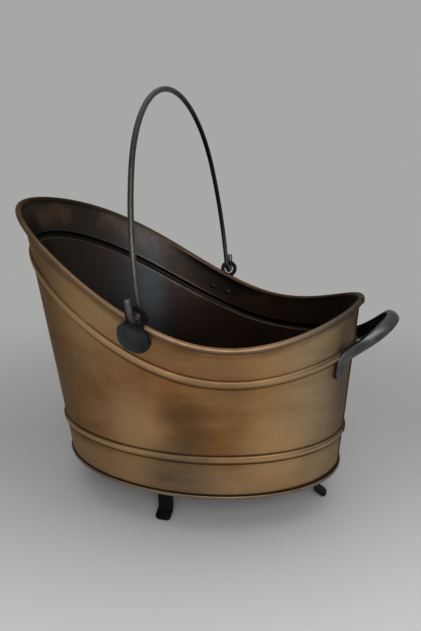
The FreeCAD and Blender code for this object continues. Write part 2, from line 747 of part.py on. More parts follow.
def handle_half():
    """Sections of the near half, from the round end of the tab to the tip of the loop."""
    angle, low = tab_spot(-1)
    width = size("handle_width")
    flat_dome, full_dome = size("tab_dome"), size("handle_dome")
    bury = size("handle_thickness") / 2 - size("bedding")
    sections = []
    for step in range(1, TAB_END_STEPS + 1):
        turn = math.pi / 2 * step / TAB_END_STEPS
        spot = step_on_wall(angle, low, 0, width / 2 * (1 - math.cos(turn)))
        sections.append(strap_section(wall_frame(*spot, bury), width * math.sin(turn), flat_dome))
    flat_end = wall_frame(*step_on_wall(angle, low, 0, size("tab_length")), bury)

    tip_height = rim_height(0.0) - size("handle_drop")
    tip = plan_point(0.0, tip_height) + Vector(size("handle_reach"), 0, 0)
    pulls = [
        flat_end.Base,
        flat_end.multVec(Vector(0, size("handle_sweep"), 0)),
        tip - Vector(size("handle_leg_back"), size("handle_leg_side"), size("handle_leg_drop")),
        tip - Vector(0, size("handle_tip_pull"), 0),
        tip,
    ]
    steps_between = [second - first for first, second in zip(pulls, pulls[1:])]
    tilt = math.radians(size("handle_tip_tilt"))
    across_tab = flat_end.Rotation.multVec(Vector(1, 0, 0))
    across_tip = Vector(math.sin(tilt), 0, -math.cos(tilt))
    for step in range(HANDLE_STEPS + 1):
        part = step / HANDLE_STEPS
        forward = pulled_curve(steps_between, part).normalize()
        turned = ease_in_out(part)
        across = across_tab * (1 - turned) + across_tip * turned
        across = (across - forward * across.dot(forward)).normalize()
        place = frame(pulled_curve(pulls, part), across, forward, across.cross(forward))
        dome = flat_dome + (full_dome - flat_dome) * ease_in_out(min(1.0, part / DOME_FULL))
        sections.append(strap_section(place, width, dome))
    return sections


def handle_solid():
    """Whole strap: the near half, then its mirror image back to the far tab."""
    near = handle_half()
    far = [[Vector(point.x, -point.y, point.z) for point in section] for section in near[-2::-1]]
    return Part.makeLoft([section_wire(section) for section in near + far], True, True)


def tab_rivet_places(side):
    """Placements of the two rivets of one tab."""
    angle, low = tab_spot(side)
    first = size("handle_width") / 2
    rises = (first, first + size("tab_rivet_spacing"))
    return [head_inside(*step_on_wall(angle, low, 0, rise)) for rise in rises]


# Feet

def foot_place(azimuth, toe_distance, toe_side):
    """Placement of a foot: X outward, with the inner end of its tab under the base at the origin."""
    inner = toe_distance - size("foot_toe_reach") - size("foot_tab")
    turn = Rotation(Vector(0, 0, 1), azimuth)
    start = turn.multVec(Vector(inner, 0, 0)) + Vector(size("oval_centre"), 0, size("base_height"))
    return Placement(start + Vector(toe_side, 0, 0), turn)


def foot_body(label, place):
    """Strap bent down from its tab to a leg, then out to a sloping toe with a flat sole."""
    body = doc.addObject("PartDesign::Body", label)
    thick = size("foot_thickness")
    tab = size("foot_tab")
    bend = size("foot_bend")
    floor = -size("base_height")
    slope = math.radians(size("foot_toe_angle"))
    middle = -thick / 2
    toe = (tab + size("foot_toe_reach"), floor)
    toe_start_x = tab + bend * (1 - math.sin(slope))
    toe_start = (toe_start_x, floor + (toe[0] - toe_start_x) * math.tan(slope))
    leg_end = toe_start[1] + bend * math.cos(slope)

    path = new_sketch(body, label + "_path", "XZ_Plane")
    path.addGeometry([
        line((0, middle), (tab - bend, middle)),
        arc((tab - bend, middle - bend), bend, 0, math.pi / 2),
        line((tab, middle - bend), (tab, leg_end)),
        arc((tab + bend, leg_end), bend, math.pi, 1.5 * math.pi - slope),
        line(toe_start, toe),
    ], False)
    join_smoothly(path, [(0, 2, 1, 2), (1, 1, 2, 1), (2, 2, 3, 1), (3, 2, 4, 1)])
    path.addConstraint([Sketcher.Constraint("Horizontal", 0), Sketcher.Constraint("Vertical", 2)])
    path.addConstraint(Sketcher.Constraint("PointOnObject", 0, 1, -2))
    measure(path, "-Sizes.foot_thickness / 2", "DistanceY", -1, 1, 0, 1, middle)
    measure(path, "Sizes.foot_tab", "DistanceX", -1, 1, 2, 1, tab)
    measure(path, "Sizes.foot_bend", "Radius", 1, bend)
    measure(path, "Sizes.foot_bend", "Radius", 3, bend)
    measure(path, "-Sizes.foot_toe_angle", "Angle", -1, 1, 4, 1, -slope)
    measure(path, "Sizes.foot_tab + Sizes.foot_toe_reach", "DistanceX", -1, 1, 4, 2, toe[0])
    measure(path, "-Sizes.base_height", "DistanceY", -1, 1, 4, 2, floor)

    strap = new_sketch(body, label + "_strap", "YZ_Plane")
    half = size("foot_width") / 2
    rectangle(strap, ("-Sizes.foot_width / 2", -half), ("Sizes.foot_width / 2", half),
              ("-Sizes.foot_thickness", -thick), ("0", 0.0))
    pipe = bent_pipe(body, path, strap)

    ends = []
    for number, edge in enumerate(pipe.Shape.Edges, start=1):
        middle_point = edge.CenterOfMass
        at_side = abs(abs(middle_point.y) - half) < 1e-6
        if at_side and (middle_point - Vector(toe[0], middle_point.y, toe[1])).Length < 1e-3:
            ends.append("Edge%d" % number)
    corner = body.newObject("PartDesign::Fillet", label + "_toe_round")
    corner.Base = (pipe, ends)
    corner.setExpression("Radius", "Sizes.foot_toe_round")

    sole = new_sketch(body, label + "_sole", "XZ_Plane")
    below = floor - 2 * thick
    below_formula = "-(Sizes.base_height + 2 * Sizes.foot_thickness)"
    beyond_formula = "Sizes.foot_tab + 2 * Sizes.foot_toe_reach"
    rectangle(sole, ("0", 0.0), (beyond_formula, tab + 2 * size("foot_toe_reach")),
              (below_formula, below), ("-Sizes.base_height", floor))
    through_pocket(body, sole)
    body.Placement = place
    return body


def foot_rivet_places(place):
    """Placements of a foot's two rivets, with their heads on top of the base."""
    top = size("sheet") + size("rivet_fit")
    first = size("foot_rivet_edge")
    ways = (first, first + size("foot_rivet_spacing"))
    return [place.multiply(Placement(Vector(way, 0, top), Rotation())) for way in ways]


# Assembly

parts = []
wall_blank = feature("wall_blank", wall_solid())
base_blank = feature("base_blank", base_solid())
wall_seat = feature("wall_seat", seat_solid())
parts.append(feature("rim_wire", rim_wire_solid()))
wall_holes = []
base_holes = []

ears = []
for name, side in (("near", -1), ("far", 1)):
    ear_grip = "Sizes.sheet + Sizes.rivet_fit + Sizes.ear_thickness"
    rivets, holes = rivet_group(name + "_ear_rivets", ear_rivet_places(side), ear_grip)
    ears.append((name + "_ear", ear_plate(name + "_ear_plate", side), holes))
    parts.append(rivets)
    wall_holes += holes

handle_holes = []
for name, side in (("near", -1), ("far", 1)):
    tab_grip = "Sizes.sheet + Sizes.rivet_fit + Sizes.handle_thickness - Sizes.bedding"
    rivets, holes = rivet_group(name + "_tail_rivets", tab_rivet_places(side), tab_grip)
    parts.append(rivets)
    handle_holes += holes
wall_holes += handle_holes

end_toe = size("end_foot_inset")
side_toe = size("base_half_width") - size("side_foot_inset")
FEET = (
    ("near_foot", -90, side_toe, size("side_foot_place")),
    ("far_foot", 90, side_toe, size("side_foot_place")),
    ("lip_foot", 180, size("base_lip_half") - end_toe, 0.0),
    ("tail_foot", 0, size("base_tail_half") - end_toe, 0.0),
)
for name, azimuth, toe_distance, toe_side in FEET:
    place = foot_place(azimuth, toe_distance, toe_side)
    foot_grip = "Sizes.sheet + Sizes.rivet_fit + Sizes.foot_thickness"
    rivets, holes = rivet_group(name + "_rivets", foot_rivet_places(place), foot_grip)
    parts.append(rivets)
    parts.append(cut(name, foot_body(name + "_strap", place), holes))
    base_holes += holes

parts.append(cut("bucket_wall", wall_blank, wall_holes))
parts.append(cut("base_pan", base_blank, base_holes))
for label, plate, holes in ears:
    parts.append(seated(label, plate, wall_seat, holes))
parts.append(seated("tail_handle", feature("handle_strap", handle_solid()), wall_seat, handle_holes))
parts.append(bail_body())
doc.recompute()

for made in doc.Objects:
    if "Invalid" in made.State or "Error" in made.State:
        raise RuntimeError("%s did not compute: %s" % (made.Name, made.State))
for part in parts:
    if part.Shape.isNull() or not part.Shape.isValid():
        raise RuntimeError("%s has no valid shape" % part.Label)

os.makedirs("parts", exist_ok=True)
for part in parts:
    part.Shape.exportStep("parts/%s.step" % part.Label)
    box = part.Shape.BoundBox
    print("%-20s %d solids %9.0f mm3  x %.1f %.1f  y %.1f %.1f  z %.1f %.1f" % (
        part.Label, len(part.Shape.Solids), part.Shape.Volume,
        box.XMin, box.XMax, box.YMin, box.YMax, box.ZMin, box.ZMax))
print("bail hinge", bail_hinge(), "eye", eye_centre(1))
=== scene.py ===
# %% [markdown]
# # A helmet-shaped log bucket in aged brass
# The bucket stands by a fire and holds logs. It is an oval wall of thin brass with a tall lip,
# a folded base on four iron feet, a strap handle at the tail and a wire bail in two iron ears.
# The packed solids come in first, because every new piece has to sit where they are.

# %% Load the packed solids
import math

import bmesh
import bpy
from bmesh.types import BMEdge, BMFace, BMVert
from mathutils import Matrix, Vector, noise


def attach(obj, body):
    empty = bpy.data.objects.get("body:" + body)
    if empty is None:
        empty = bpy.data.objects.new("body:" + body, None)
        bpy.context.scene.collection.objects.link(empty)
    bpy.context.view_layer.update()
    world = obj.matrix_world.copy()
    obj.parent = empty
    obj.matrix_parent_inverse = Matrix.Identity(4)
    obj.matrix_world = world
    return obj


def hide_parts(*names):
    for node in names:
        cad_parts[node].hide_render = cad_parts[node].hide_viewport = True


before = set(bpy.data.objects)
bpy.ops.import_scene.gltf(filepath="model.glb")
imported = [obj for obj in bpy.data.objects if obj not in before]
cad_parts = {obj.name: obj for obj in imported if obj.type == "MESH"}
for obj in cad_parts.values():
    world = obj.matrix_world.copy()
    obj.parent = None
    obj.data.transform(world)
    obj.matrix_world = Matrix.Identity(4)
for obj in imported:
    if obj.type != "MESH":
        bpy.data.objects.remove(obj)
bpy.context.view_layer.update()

# %% [markdown]
# ## The camera
# A camera is a place, three directions and a lens. The place and the lens were worked out from the
# photograph's own outlines, so the render can be laid over it. The long side of the picture is
# upright, and Blender fits its sensor to the long side, so the lens is counted against the height.

# %% Set up the camera
MM = 0.001
IMAGE_HEIGHT = 631
FOCAL_PIXELS = 570.45
SENSOR = 36.0
CAMERA_PLACE = Vector((222.1, -667.9, 388.1)) * MM
CAMERA_TURN = math.radians(17.73)
CAMERA_DROP = math.radians(13.25)
CAMERA_ROLL = math.radians(-0.37)

camera_data = bpy.data.cameras.new("photo_camera")
camera_data.sensor_width = SENSOR
camera_data.lens = FOCAL_PIXELS * SENSOR / IMAGE_HEIGHT
camera = bpy.data.objects.new("photo_camera", camera_data)
bpy.context.scene.collection.objects.link(camera)
tilt = Matrix.Rotation(math.pi / 2 - CAMERA_DROP, 4, "X") @ Matrix.Rotation(CAMERA_ROLL, 4, "Z")
camera.matrix_world = Matrix.Translation(CAMERA_PLACE) @ Matrix.Rotation(CAMERA_TURN, 4, "Z") @ tilt
bpy.context.scene.camera = camera
bpy.context.scene.view_settings.view_transform = "Standard"
print("lens %.2f mm" % camera_data.lens)

# %% [markdown]
# ## Materials from nodes
# A finish is a small network of nodes that ends in one shader. The helper below adds a node, sets
# its plain values and joins the sockets that are handed to it, so each finish reads as a recipe.
# A colour is written as red, green and blue in plain light.

# %% A short way to write node networks
# Share of a spot's reach that is full before it starts to fade.
SPOT_CORE = 0.15
CLOUD_LOW, CLOUD_HIGH = 0.3, 0.7


def share_of(value, low, high):
    """How far a value has come from low to high, kept between 0 and 1."""
    return min(1.0, max(0.0, (value - low) / (high - low)))


class Finish:
    """A material whose nodes are added one call at a time."""

    def __init__(self, name, **shader_values):
        self.material = bpy.data.materials.new(name)
        self.material.use_nodes = True
        self.tree = self.material.node_tree
        self.shader = self.tree.nodes["Principled BSDF"]
        self.fill(self.shader, shader_values)
        self.place = self.node("TexCoord").outputs["Object"]

    def fill(self, node, values):
        """Set or join the inputs of a node; a number in a name stands for a place in its list."""
        for name, value in values.items():
            socket = node.inputs[int(name[1:]) if name[1:].isdigit() else name.replace("_", " ")]
            if isinstance(value, bpy.types.NodeSocket):
                self.tree.links.new(value, socket)
            else:
                socket.default_value = (*value, 1.0) if socket.type == "RGBA" else value

    def node(self, kind, settings=None, **values):
        """One new node."""
        made = self.tree.nodes.new("ShaderNode" + kind)
        for name, value in (settings or {}).items():
            setattr(made, name, value)
        self.fill(made, values)
        return made

    def noise(self, scale, detail=3.0, stretch=(1, 1, 1), roughness=0.55):
        """Cloudy grey pattern, stretched along the object's axes."""
        spread = self.node("Mapping", Vector=self.place, Scale=stretch).outputs[0]
        made = self.node("TexNoise", Vector=spread, Scale=scale, Detail=detail, Roughness=roughness)
        return made.outputs[0]

    def ramp(self, value, low, high, start=0.0, end=1.0):
        """Value stretched from one range to another, smoothly."""
        made = self.node("MapRange", {"interpolation_type": "SMOOTHSTEP"}, Value=value,
                         From_Min=low, From_Max=high, To_Min=start, To_Max=end)
        return made.outputs[0]

    def math(self, operation, first, second):
        """Arithmetic on two values."""
        return self.node("Math", {"operation": operation}, _0=first, _1=second).outputs[0]

    def mix(self, amount, first, second, way="MIX"):
        """One colour fading into another, or laid over it in another way."""
        made = self.node("MixRGB", {"blend_type": way}, _0=amount, _1=first, _2=second)
        return made.outputs[0]

    def lay(self, body, colour, value, low, high, most=1.0, way="MIX"):
        """A colour laid over a body of colour, more of it as a value climbs from low to high."""
        return self.mix(self.ramp(value, low, high, 0.0, most), body, colour, way)

    def along_length(self, stops):
        """Colour that changes from lip to tail through stops, each a place in millimetres and a colour."""
        low, high = stops[0][0] * MM, stops[-1][0] * MM
        way = self.node("SeparateXYZ", Vector=self.place).outputs[0]
        way = self.node("MapRange", Value=way, From_Min=low, From_Max=high).outputs[0]
        made = self.node("ValToRGB", Fac=way)
        steps = made.color_ramp.elements
        for place, *_ in stops[1:-1]:
            steps.new(share_of(place * MM, low, high))
        for step, (_, *colour) in zip(steps, stops):
            step.color = (*colour, 1.0)
        return made.outputs[0]

    def painted(self, name):
        """A value that the mesh carries on its points."""
        return self.node("Attribute", {"attribute_name": name}).outputs["Fac"]

    def spots(self, balls):
        """One inside soft balls, each a centre and a reach in millimetres, and nothing outside them."""
        inside = 0.0
        for *centre, reach in balls:
            away = self.node("VectorMath", {"operation": "DISTANCE"}, _0=self.place,
                             _1=[part * MM for part in centre]).outputs["Value"]
            near = self.ramp(away, SPOT_CORE * reach * MM, reach * MM, 1.0, 0.0)
            inside = self.math("MAXIMUM", inside, near)
        return inside

    def bump(self, height, strength, depth):
        """Small relief on the shader's normal."""
        relief = self.node("Bump", Height=height, Strength=strength, Distance=depth * MM)
        self.fill(self.shader, {"Normal": relief.outputs[0]})

    def colour(self, value):
        self.fill(self.shader, {"Base_Color": value})

    def roughness(self, pattern, smooth, coarse, more=0.0):
        """Roughness that follows a cloudy pattern, with some more added."""
        value = self.ramp(pattern, CLOUD_LOW, CLOUD_HIGH, smooth, coarse)
        self.fill(self.shader, {"Roughness": self.math("ADD", value, more)})

    def settle(self, body, dark):
        """Patina and painted shade darken a body of colour where the mesh carries them."""
        self.colour(self.mix(self.painted("patina"), body, dark))


print("a finish can", [name for name in vars(Finish) if not name.startswith("_")])

# %% [markdown]
# ## The floor and the light
# The bucket stands in a pale room, lit by soft daylight from a window behind the camera. One wide
# floor keeps its shadow, and its colour darkens towards the back as painted shade. Far out the floor
# fades into the tone of the room, so that no horizon shows behind the bucket. Large area lamps give
# the soft edges, and the world fills in the rest.

# %% Make the floor
FLOOR_HALF = 5.0
FLOOR_DROP = 0.0004
FLOOR_FRONT, FLOOR_BACK = -0.35, 0.19
FADE_START, FADE_END = 0.30, 1.1
# The floor's colour darkens from front to back behind the bucket: painted shade.
FLOOR_NEAR, FLOOR_FAR_SHADE = (0.62, 0.62, 0.64), (0.35, 0.35, 0.355)
ROOM_TONE = (0.39, 0.39, 0.383)

floor_bm = bmesh.new()
bmesh.ops.create_grid(floor_bm, x_segments=1, y_segments=1, size=FLOOR_HALF)
bmesh.ops.translate(floor_bm, vec=(0, 0, -FLOOR_DROP), verts=floor_bm.verts)
floor_mesh = bpy.data.meshes.new("floor")
floor_bm.to_mesh(floor_mesh)
floor_bm.free()
floor = bpy.data.objects.new("floor", floor_mesh)
bpy.context.scene.collection.objects.link(floor)

pale = Finish("pale_floor", Roughness=0.6)
across = pale.node("VectorMath", {"operation": "DOT_PRODUCT"}, _0=pale.place,
                   _1=(-math.sin(CAMERA_TURN), math.cos(CAMERA_TURN), 0.0)).outputs["Value"]
# Painted shade: the floor darkens towards the back.
pale.colour(pale.lay(FLOOR_NEAR, FLOOR_FAR_SHADE, across, FLOOR_FRONT, FLOOR_BACK))
away = pale.node("VectorMath", {"operation": "LENGTH"}, _0=pale.place).outputs["Value"]
room_glow = pale.node("Emission", Color=ROOM_TONE)
faded = pale.node("MixShader", _0=pale.ramp(away, FADE_START, FADE_END), _1=pale.shader.outputs[0],
                  _2=room_glow.outputs[0])
pale.tree.links.new(faded.outputs[0], pale.tree.nodes["Material Output"].inputs["Surface"])
floor_mesh.materials.append(pale.material)
print("floor at", -FLOOR_DROP)

# %% Hang the lamps and set the world
LAMP_TARGET = Vector((0.0, 0.0, 0.2))
# Name, place, side and power of each lamp, and its tint.
LAMPS = (
    ("window_light", (0.85, -2.2, 1.05), 1.6, 40.0, (0.96, 0.98, 1.0)),
    ("top_soft", (0.2, 0.2, 2.4), 3.2, 24.0, (1.0, 0.99, 0.97)),
    ("right_fill", (1.9, -0.9, 0.9), 1.8, 5.0, (1.0, 1.0, 1.0)),
)
for name, place, side, power, tint in LAMPS:
    lamp = bpy.data.lights.new(name, "AREA")
    lamp.shape = "SQUARE"
    lamp.size = side
    lamp.energy = power
    lamp.color = tint
    holder = bpy.data.objects.new(name, lamp)
    holder.location = place
    holder.rotation_euler = (LAMP_TARGET - Vector(place)).to_track_quat("-Z", "Y").to_euler()
    bpy.context.scene.collection.objects.link(holder)

world = bpy.data.worlds.new("soft_room")
bpy.context.scene.world = world
world.use_nodes = True
world.node_tree.nodes["Background"].inputs["Color"].default_value = (*ROOM_TONE, 1.0)
print("lamps", [lamp[0] for lamp in LAMPS])

# %% [markdown]
# ## The shape of the wall
# The wall is an oval that leans outward as it rises. Its rim is high at the lip, low past the ears
# and rises again at the tail. Five heights and a smooth curve through them give the rim, and the
# upper bead keeps its own distance below it. These are the sizes of the solids, in millimetres.

# %% Describe the oval, the rim and the beads
OVAL_CENTRE = -2.8
BASE_HEIGHT = 44.0
LIP_HALF, TAIL_HALF, HALF_WIDTH = 180.6, 176.3, 129.6
LIP_FLARE, TAIL_FLARE, SIDE_FLARE = 0.13, 0.08, 0.15
SHEET = 1.2
RIM_HEIGHTS = (365.8, 301.8, 241.9, 223.3, 254.1)
BEAD_DROPS = (45.8, 51.4, 42.5, 38.5, 50.8)
STATIONS = (-1.0, -0.5, 0.0, 0.5, 1.0)
LOWER_BEAD = BASE_HEIGHT + 50.9
BEAD_HALF, BEAD_RISE = 4.6, 2.8
RIM_NECK, LIP_NECK, NECK_FADE = 9.0, 36.0, 4
ROLL_RADIUS = 3.6
LIP_KICK, SIDE_KICK, TAIL_KICK = 5.3, 0.8, 1.4
SMALL_TURN = 0.01


def plan_point(angle, height, offset=0.0):
    """Point on the straight outer face of the wall, moved outward by the offset."""
    rise = height - BASE_HEIGHT
    to_lip = math.cos(angle) < 0
    length = LIP_HALF + LIP_FLARE * rise if to_lip else TAIL_HALF + TAIL_FLARE * rise
    width = HALF_WIDTH + SIDE_FLARE * rise
    outward = Vector((math.cos(angle) / length, math.sin(angle) / width, 0)).normalized()
    on_wall = Vector((OVAL_CENTRE + length * math.cos(angle), width * math.sin(angle), height))
    return on_wall + outward * offset


def through_stations(values, angle):
    """Smooth value through five values set from lip to tail."""
    where = math.cos(angle)
    total = 0.0
    for value, own in zip(values, STATIONS):
        weight = 1.0
        for other in STATIONS:
            if other != own:
                weight *= (where - other) / (own - other)
        total += weight * value
    return total


def rim_height(angle):
    return through_stations(RIM_HEIGHTS, angle)


def bead_height(angle):
    return rim_height(angle) - through_stations(BEAD_DROPS, angle)


def rim_kick(angle):
    """How far the rim stands outside the straight wall."""
    end_kick = LIP_KICK if math.cos(angle) < 0 else TAIL_KICK
    return SIDE_KICK + (end_kick - SIDE_KICK) * math.cos(angle) ** 2


def rim_neck(angle):
    """Where the wall starts to bend out to its rim, which is lower at the flared lip."""
    lip_share = max(0.0, -math.cos(angle)) ** NECK_FADE
    return RIM_NECK + (LIP_NECK - RIM_NECK) * lip_share


def rim_slope(angle):
    """Climb of the rim for each millimetre of plan, going round anticlockwise."""
    turns = (angle - SMALL_TURN, angle + SMALL_TURN)
    before, after = [plan_point(turn, rim_height(turn)) for turn in turns]
    return (after.z - before.z) / math.hypot(after.x - before.x, after.y - before.y)


def rim_stretch(angle):
    """Upright distance for each millimetre square to the sloping rim."""
    return math.hypot(1.0, rim_slope(angle))


print("rim from %.0f to %.0f mm" % (min(RIM_HEIGHTS), max(RIM_HEIGHTS)))

# %% [markdown]
# ## Growing a shape ring by ring
# Most pieces here are long: a wall that goes round an oval, a strap, a foot. A ring of edges is
# made once, and the extrude operator grows it from station to station, so the faces always follow
# the flow of the metal. Each point remembers its own turn round the ring, and a station says where
# a turn goes. Points also carry how much dark patina and painted shade lie there, and how much
# rubbing and painted highlight, for the finishes to read.

# %% Helpers that grow rings and finish pieces
SHARP_ANGLE = math.radians(35)


def only(kind, geometry):
    """The points, edges or faces among the parts that an operator gave back."""
    return [part for part in geometry if isinstance(part, kind)]


def extrude_ring(bm, edges):
    """Extrude a ring of edges and give back the new points, the new ring and the faces between."""
    grown = bmesh.ops.extrude_edge_only(bm, edges=edges)["geom"]
    points = only(BMVert, grown)
    fresh = set(points)
    ring = [edge for edge in only(BMEdge, grown) if fresh.issuperset(edge.verts)]
    return points, ring, only(BMFace, grown)


def grow_rings(bm, turns, stations, closed=False):
    """Extrude a ring through stations: a place for a turn, dark of patina and painted shade, rub and
    highlight, material.
    """
    turn_layer, patina_and_shade_layer, rub_and_highlight_layer = map(bm.verts.layers.float.new, ("turn", "patina", "rub"))
    ring = bmesh.ops.create_circle(bm, cap_ends=False, radius=1.0, segments=len(turns))["verts"]
    for vert, turn in zip(ring, turns):
        vert[turn_layer] = turn
    first_edges = edges = list(bm.edges)
    for number, (place, patina, rub, material) in enumerate(stations):
        if number:
            ring, edges, faces = extrude_ring(bm, edges)
            for face in faces:
                face.material_index = material
        for vert in ring:
            vert.co = place(vert[turn_layer])
            vert[patina_and_shade_layer] = patina(vert[turn_layer]) if callable(patina) else patina
            vert[rub_and_highlight_layer] = rub
    if closed:
        bmesh.ops.bridge_loops(bm, edges=first_edges + edges)
    else:
        bmesh.ops.edgeloop_fill(bm, edges=first_edges)
        bmesh.ops.edgeloop_fill(bm, edges=edges)
    bmesh.ops.recalc_face_normals(bm, faces=bm.faces)


def finish_piece(bm, name, materials, replaces, body="bucket"):
    """Turn a bmesh in millimetres into a finished piece in metres that rides on its body."""
    bmesh.ops.scale(bm, vec=(MM, MM, MM), verts=bm.verts)
    mesh = bpy.data.meshes.new(name)
    bm.to_mesh(mesh)
    bm.free()
    for material in materials:
        mesh.materials.append(material)
    mesh.shade_smooth()
    mesh.set_sharp_from_angle(angle=SHARP_ANGLE)
    piece = bpy.data.objects.new(name, mesh)
    bpy.context.scene.collection.objects.link(piece)
    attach(piece, body)
    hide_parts(*replaces)
    mesh.calc_loop_triangles()
    print("%s: %d triangles" % (name, len(mesh.loop_triangles)))


print("edges sharper than %.0f degrees stay crisp" % math.degrees(SHARP_ANGLE))

# %% [markdown]
# ## Finishes of the brass
# The outside is brass that was darkened and then rubbed back: gold where the cloth reached, brown
# where it did not, and nearly black in the creases beside each bead, from patina and painted shade.
# The lip end is the dullest, partly its tone and partly painted shade, and the tail end turns olive,
# partly with a painted reflection. A few brighter spots are painted highlights, the rubbed bead crests
# are also painted highlights, dimmed on top by painted shade towards the tail, a painted shadow lies
# under the rolled rim, and patina and painted shade darken the wall's foot. The inside was left dark,
# with coppery patches near the rim, a painted bluish sheen of reflected light on its far wall and
# painted shade in the grooves of the beads. A painted picture could be wrapped round, but nodes need
# no unwrapping and stay sharp close up. Colours that change from lip to tail, large soft clouds, a
# few stains and the patina, painted shade, rubbing and painted highlights that the mesh carries make
# these, and the roughness follows the same clouds.

# %% Mix the finish of the outside
BRASS_METAL, BRASS_GLINT = 0.9, (0.62, 0.52, 0.42)
# Brass tones from lip to tail; the dark lip end is partly painted shade and the olive tail end partly a
# painted reflection.
BRASS_TONE_AND_PAINTED_LIGHT = (
    (-235, 0.075, 0.05, 0.036), (-185, 0.15, 0.092, 0.06), (-90, 0.29, 0.164, 0.08),
    (30, 0.345, 0.178, 0.07), (80, 0.295, 0.155, 0.062), (115, 0.355, 0.2, 0.083),
    (148, 0.35, 0.258, 0.152), (162, 0.30, 0.228, 0.142), (176, 0.166, 0.137, 0.103),
    (190, 0.108, 0.093, 0.077),
)
CLOUD_VEIL, STROKE_VEIL, BLUSH_VEIL = (0.78, 0.71, 0.62), (0.8, 0.76, 0.7), (0.97, 0.87, 0.8)
# The rubbed tan is worn brass, and along the bead crests also a painted highlight.
GOLD_GRAIN, RUBBED_AND_HIGHLIGHT_TAN, PAINTED_HIGHLIGHT = (0.40, 0.28, 0.15), (0.38, 0.27, 0.15), (0.45, 0.29, 0.135)
# The dark of the outside stands for patina and painted shade alike.
STAINED, SMOKED, PATINA_AND_SHADE_DARK = (0.115, 0.063, 0.027), (0.125, 0.09, 0.055), (0.04, 0.023, 0.013)
# Painted highlights: brighter spots on the near wall where it catches the light.
HIGHLIGHT_AMOUNT, FAINT_AMOUNT, RUB_MATT = 0.6, 0.5, 0.32
HIGHLIGHT_SPOTS = ((-35, -140, 122, 62), (115, -104, 106, 60), (-72, -150, 256, 88), (172, -86, 250, 46))
STAIN_SPOTS = ((30, -144, 124, 43), (25, -147, 146, 45))
FAINT_SPOTS = ((64, -141, 178, 62), (26, -152, 232, 42))
SMOKE_SPOTS = ((12, -133, 66, 68),)


def brass_outside():
    brass = Finish("aged_brass", Metallic=BRASS_METAL, Specular_Tint=BRASS_GLINT)
    clouds = brass.noise(9.0, 4.0)
    fine = brass.noise(38.0, 5.0)
    strokes = brass.noise(13.0, 5.0, (1.0, 1.0, 5.0), 0.65)
    body = brass.along_length(BRASS_TONE_AND_PAINTED_LIGHT)
    body = brass.lay(body, CLOUD_VEIL, clouds, 0.4, 0.66, way="MULTIPLY")
    body = brass.lay(body, STROKE_VEIL, strokes, 0.42, 0.7, 0.75, "MULTIPLY")
    body = brass.lay(body, BLUSH_VEIL, brass.noise(17.0), 0.52, 0.68, 0.6, "MULTIPLY")
    body = brass.lay(body, GOLD_GRAIN, fine, 0.5, 0.8, 0.25)
    # Rubbed places, and on the bead crests a painted highlight.
    body = brass.mix(brass.painted("rub"), body, RUBBED_AND_HIGHLIGHT_TAN)
    # Painted highlights laid over the brass in soft spots.
    body = brass.mix(brass.math("MULTIPLY", brass.spots(HIGHLIGHT_SPOTS), HIGHLIGHT_AMOUNT), body, PAINTED_HIGHLIGHT)
    faint = brass.math("MULTIPLY", brass.spots(FAINT_SPOTS), FAINT_AMOUNT)
    stain = brass.math("MAXIMUM", brass.spots(STAIN_SPOTS), faint)
    stain = brass.math("MULTIPLY", stain, brass.ramp(strokes, 0.28, 0.62, 0.6, 0.9))
    body = brass.mix(stain, body, STAINED)
    smoke = brass.math("MULTIPLY", brass.spots(SMOKE_SPOTS), brass.ramp(strokes, 0.3, 0.65, 0.5, 0.9))
    body = brass.mix(smoke, body, SMOKED)
    # The mesh's dark value holds patina and painted shade alike.
    uneven = brass.math("MULTIPLY", brass.painted("patina"), brass.ramp(clouds, 0.36, 0.6, 0.92, 1.06))
    settled_and_shaded = brass.math("ADD", uneven, brass.ramp(fine, 0.2, 0.8, -0.08, 0.04))
    brass.colour(brass.lay(body, PATINA_AND_SHADE_DARK, settled_and_shaded, 0.25, 0.85, 0.95))
    matt = brass.math("MULTIPLY", brass.painted("rub"), RUB_MATT)
    brass.roughness(clouds, 0.38, 0.48, matt)
    brass.bump(brass.noise(420.0, 2.0), 0.05, 0.2)
    return brass.material


outside_finish = brass_outside()
print("outside:", outside_finish.name)

# %% Mix the finish of the inside
INSIDE_GLINT = (0.6, 0.58, 0.56)
# Dark inside tones from lip to tail, with a painted bluish sheen of reflected light near the lip end and
# painted shade beside it.
INSIDE_TONE_SHEEN_AND_SHADE = (
    (-235, 0.032, 0.024, 0.018), (-190, 0.029, 0.026, 0.024), (-150, 0.031, 0.0345, 0.040),
    (-122, 0.0185, 0.0205, 0.0228), (-98, 0.0102, 0.0078, 0.0073), (-70, 0.0125, 0.0072, 0.0058),
    (0, 0.028, 0.0145, 0.0085), (90, 0.06, 0.041, 0.024), (200, 0.068, 0.05, 0.031),
)
STREAK_VEIL, COPPERY, STROKED = (0.95, 0.72, 0.62), (0.105, 0.065, 0.039), (0.04, 0.027, 0.02)
SOOTED, HIGHLIGHT_EDGE, GROOVE_SHADE_BLACK = (0.0055, 0.006, 0.006), (0.14, 0.118, 0.092), (0.003, 0.003, 0.003)
SOOT_SPOTS = ((-15, 150, 292, 98),)
SOOT_AMOUNT = 0.8


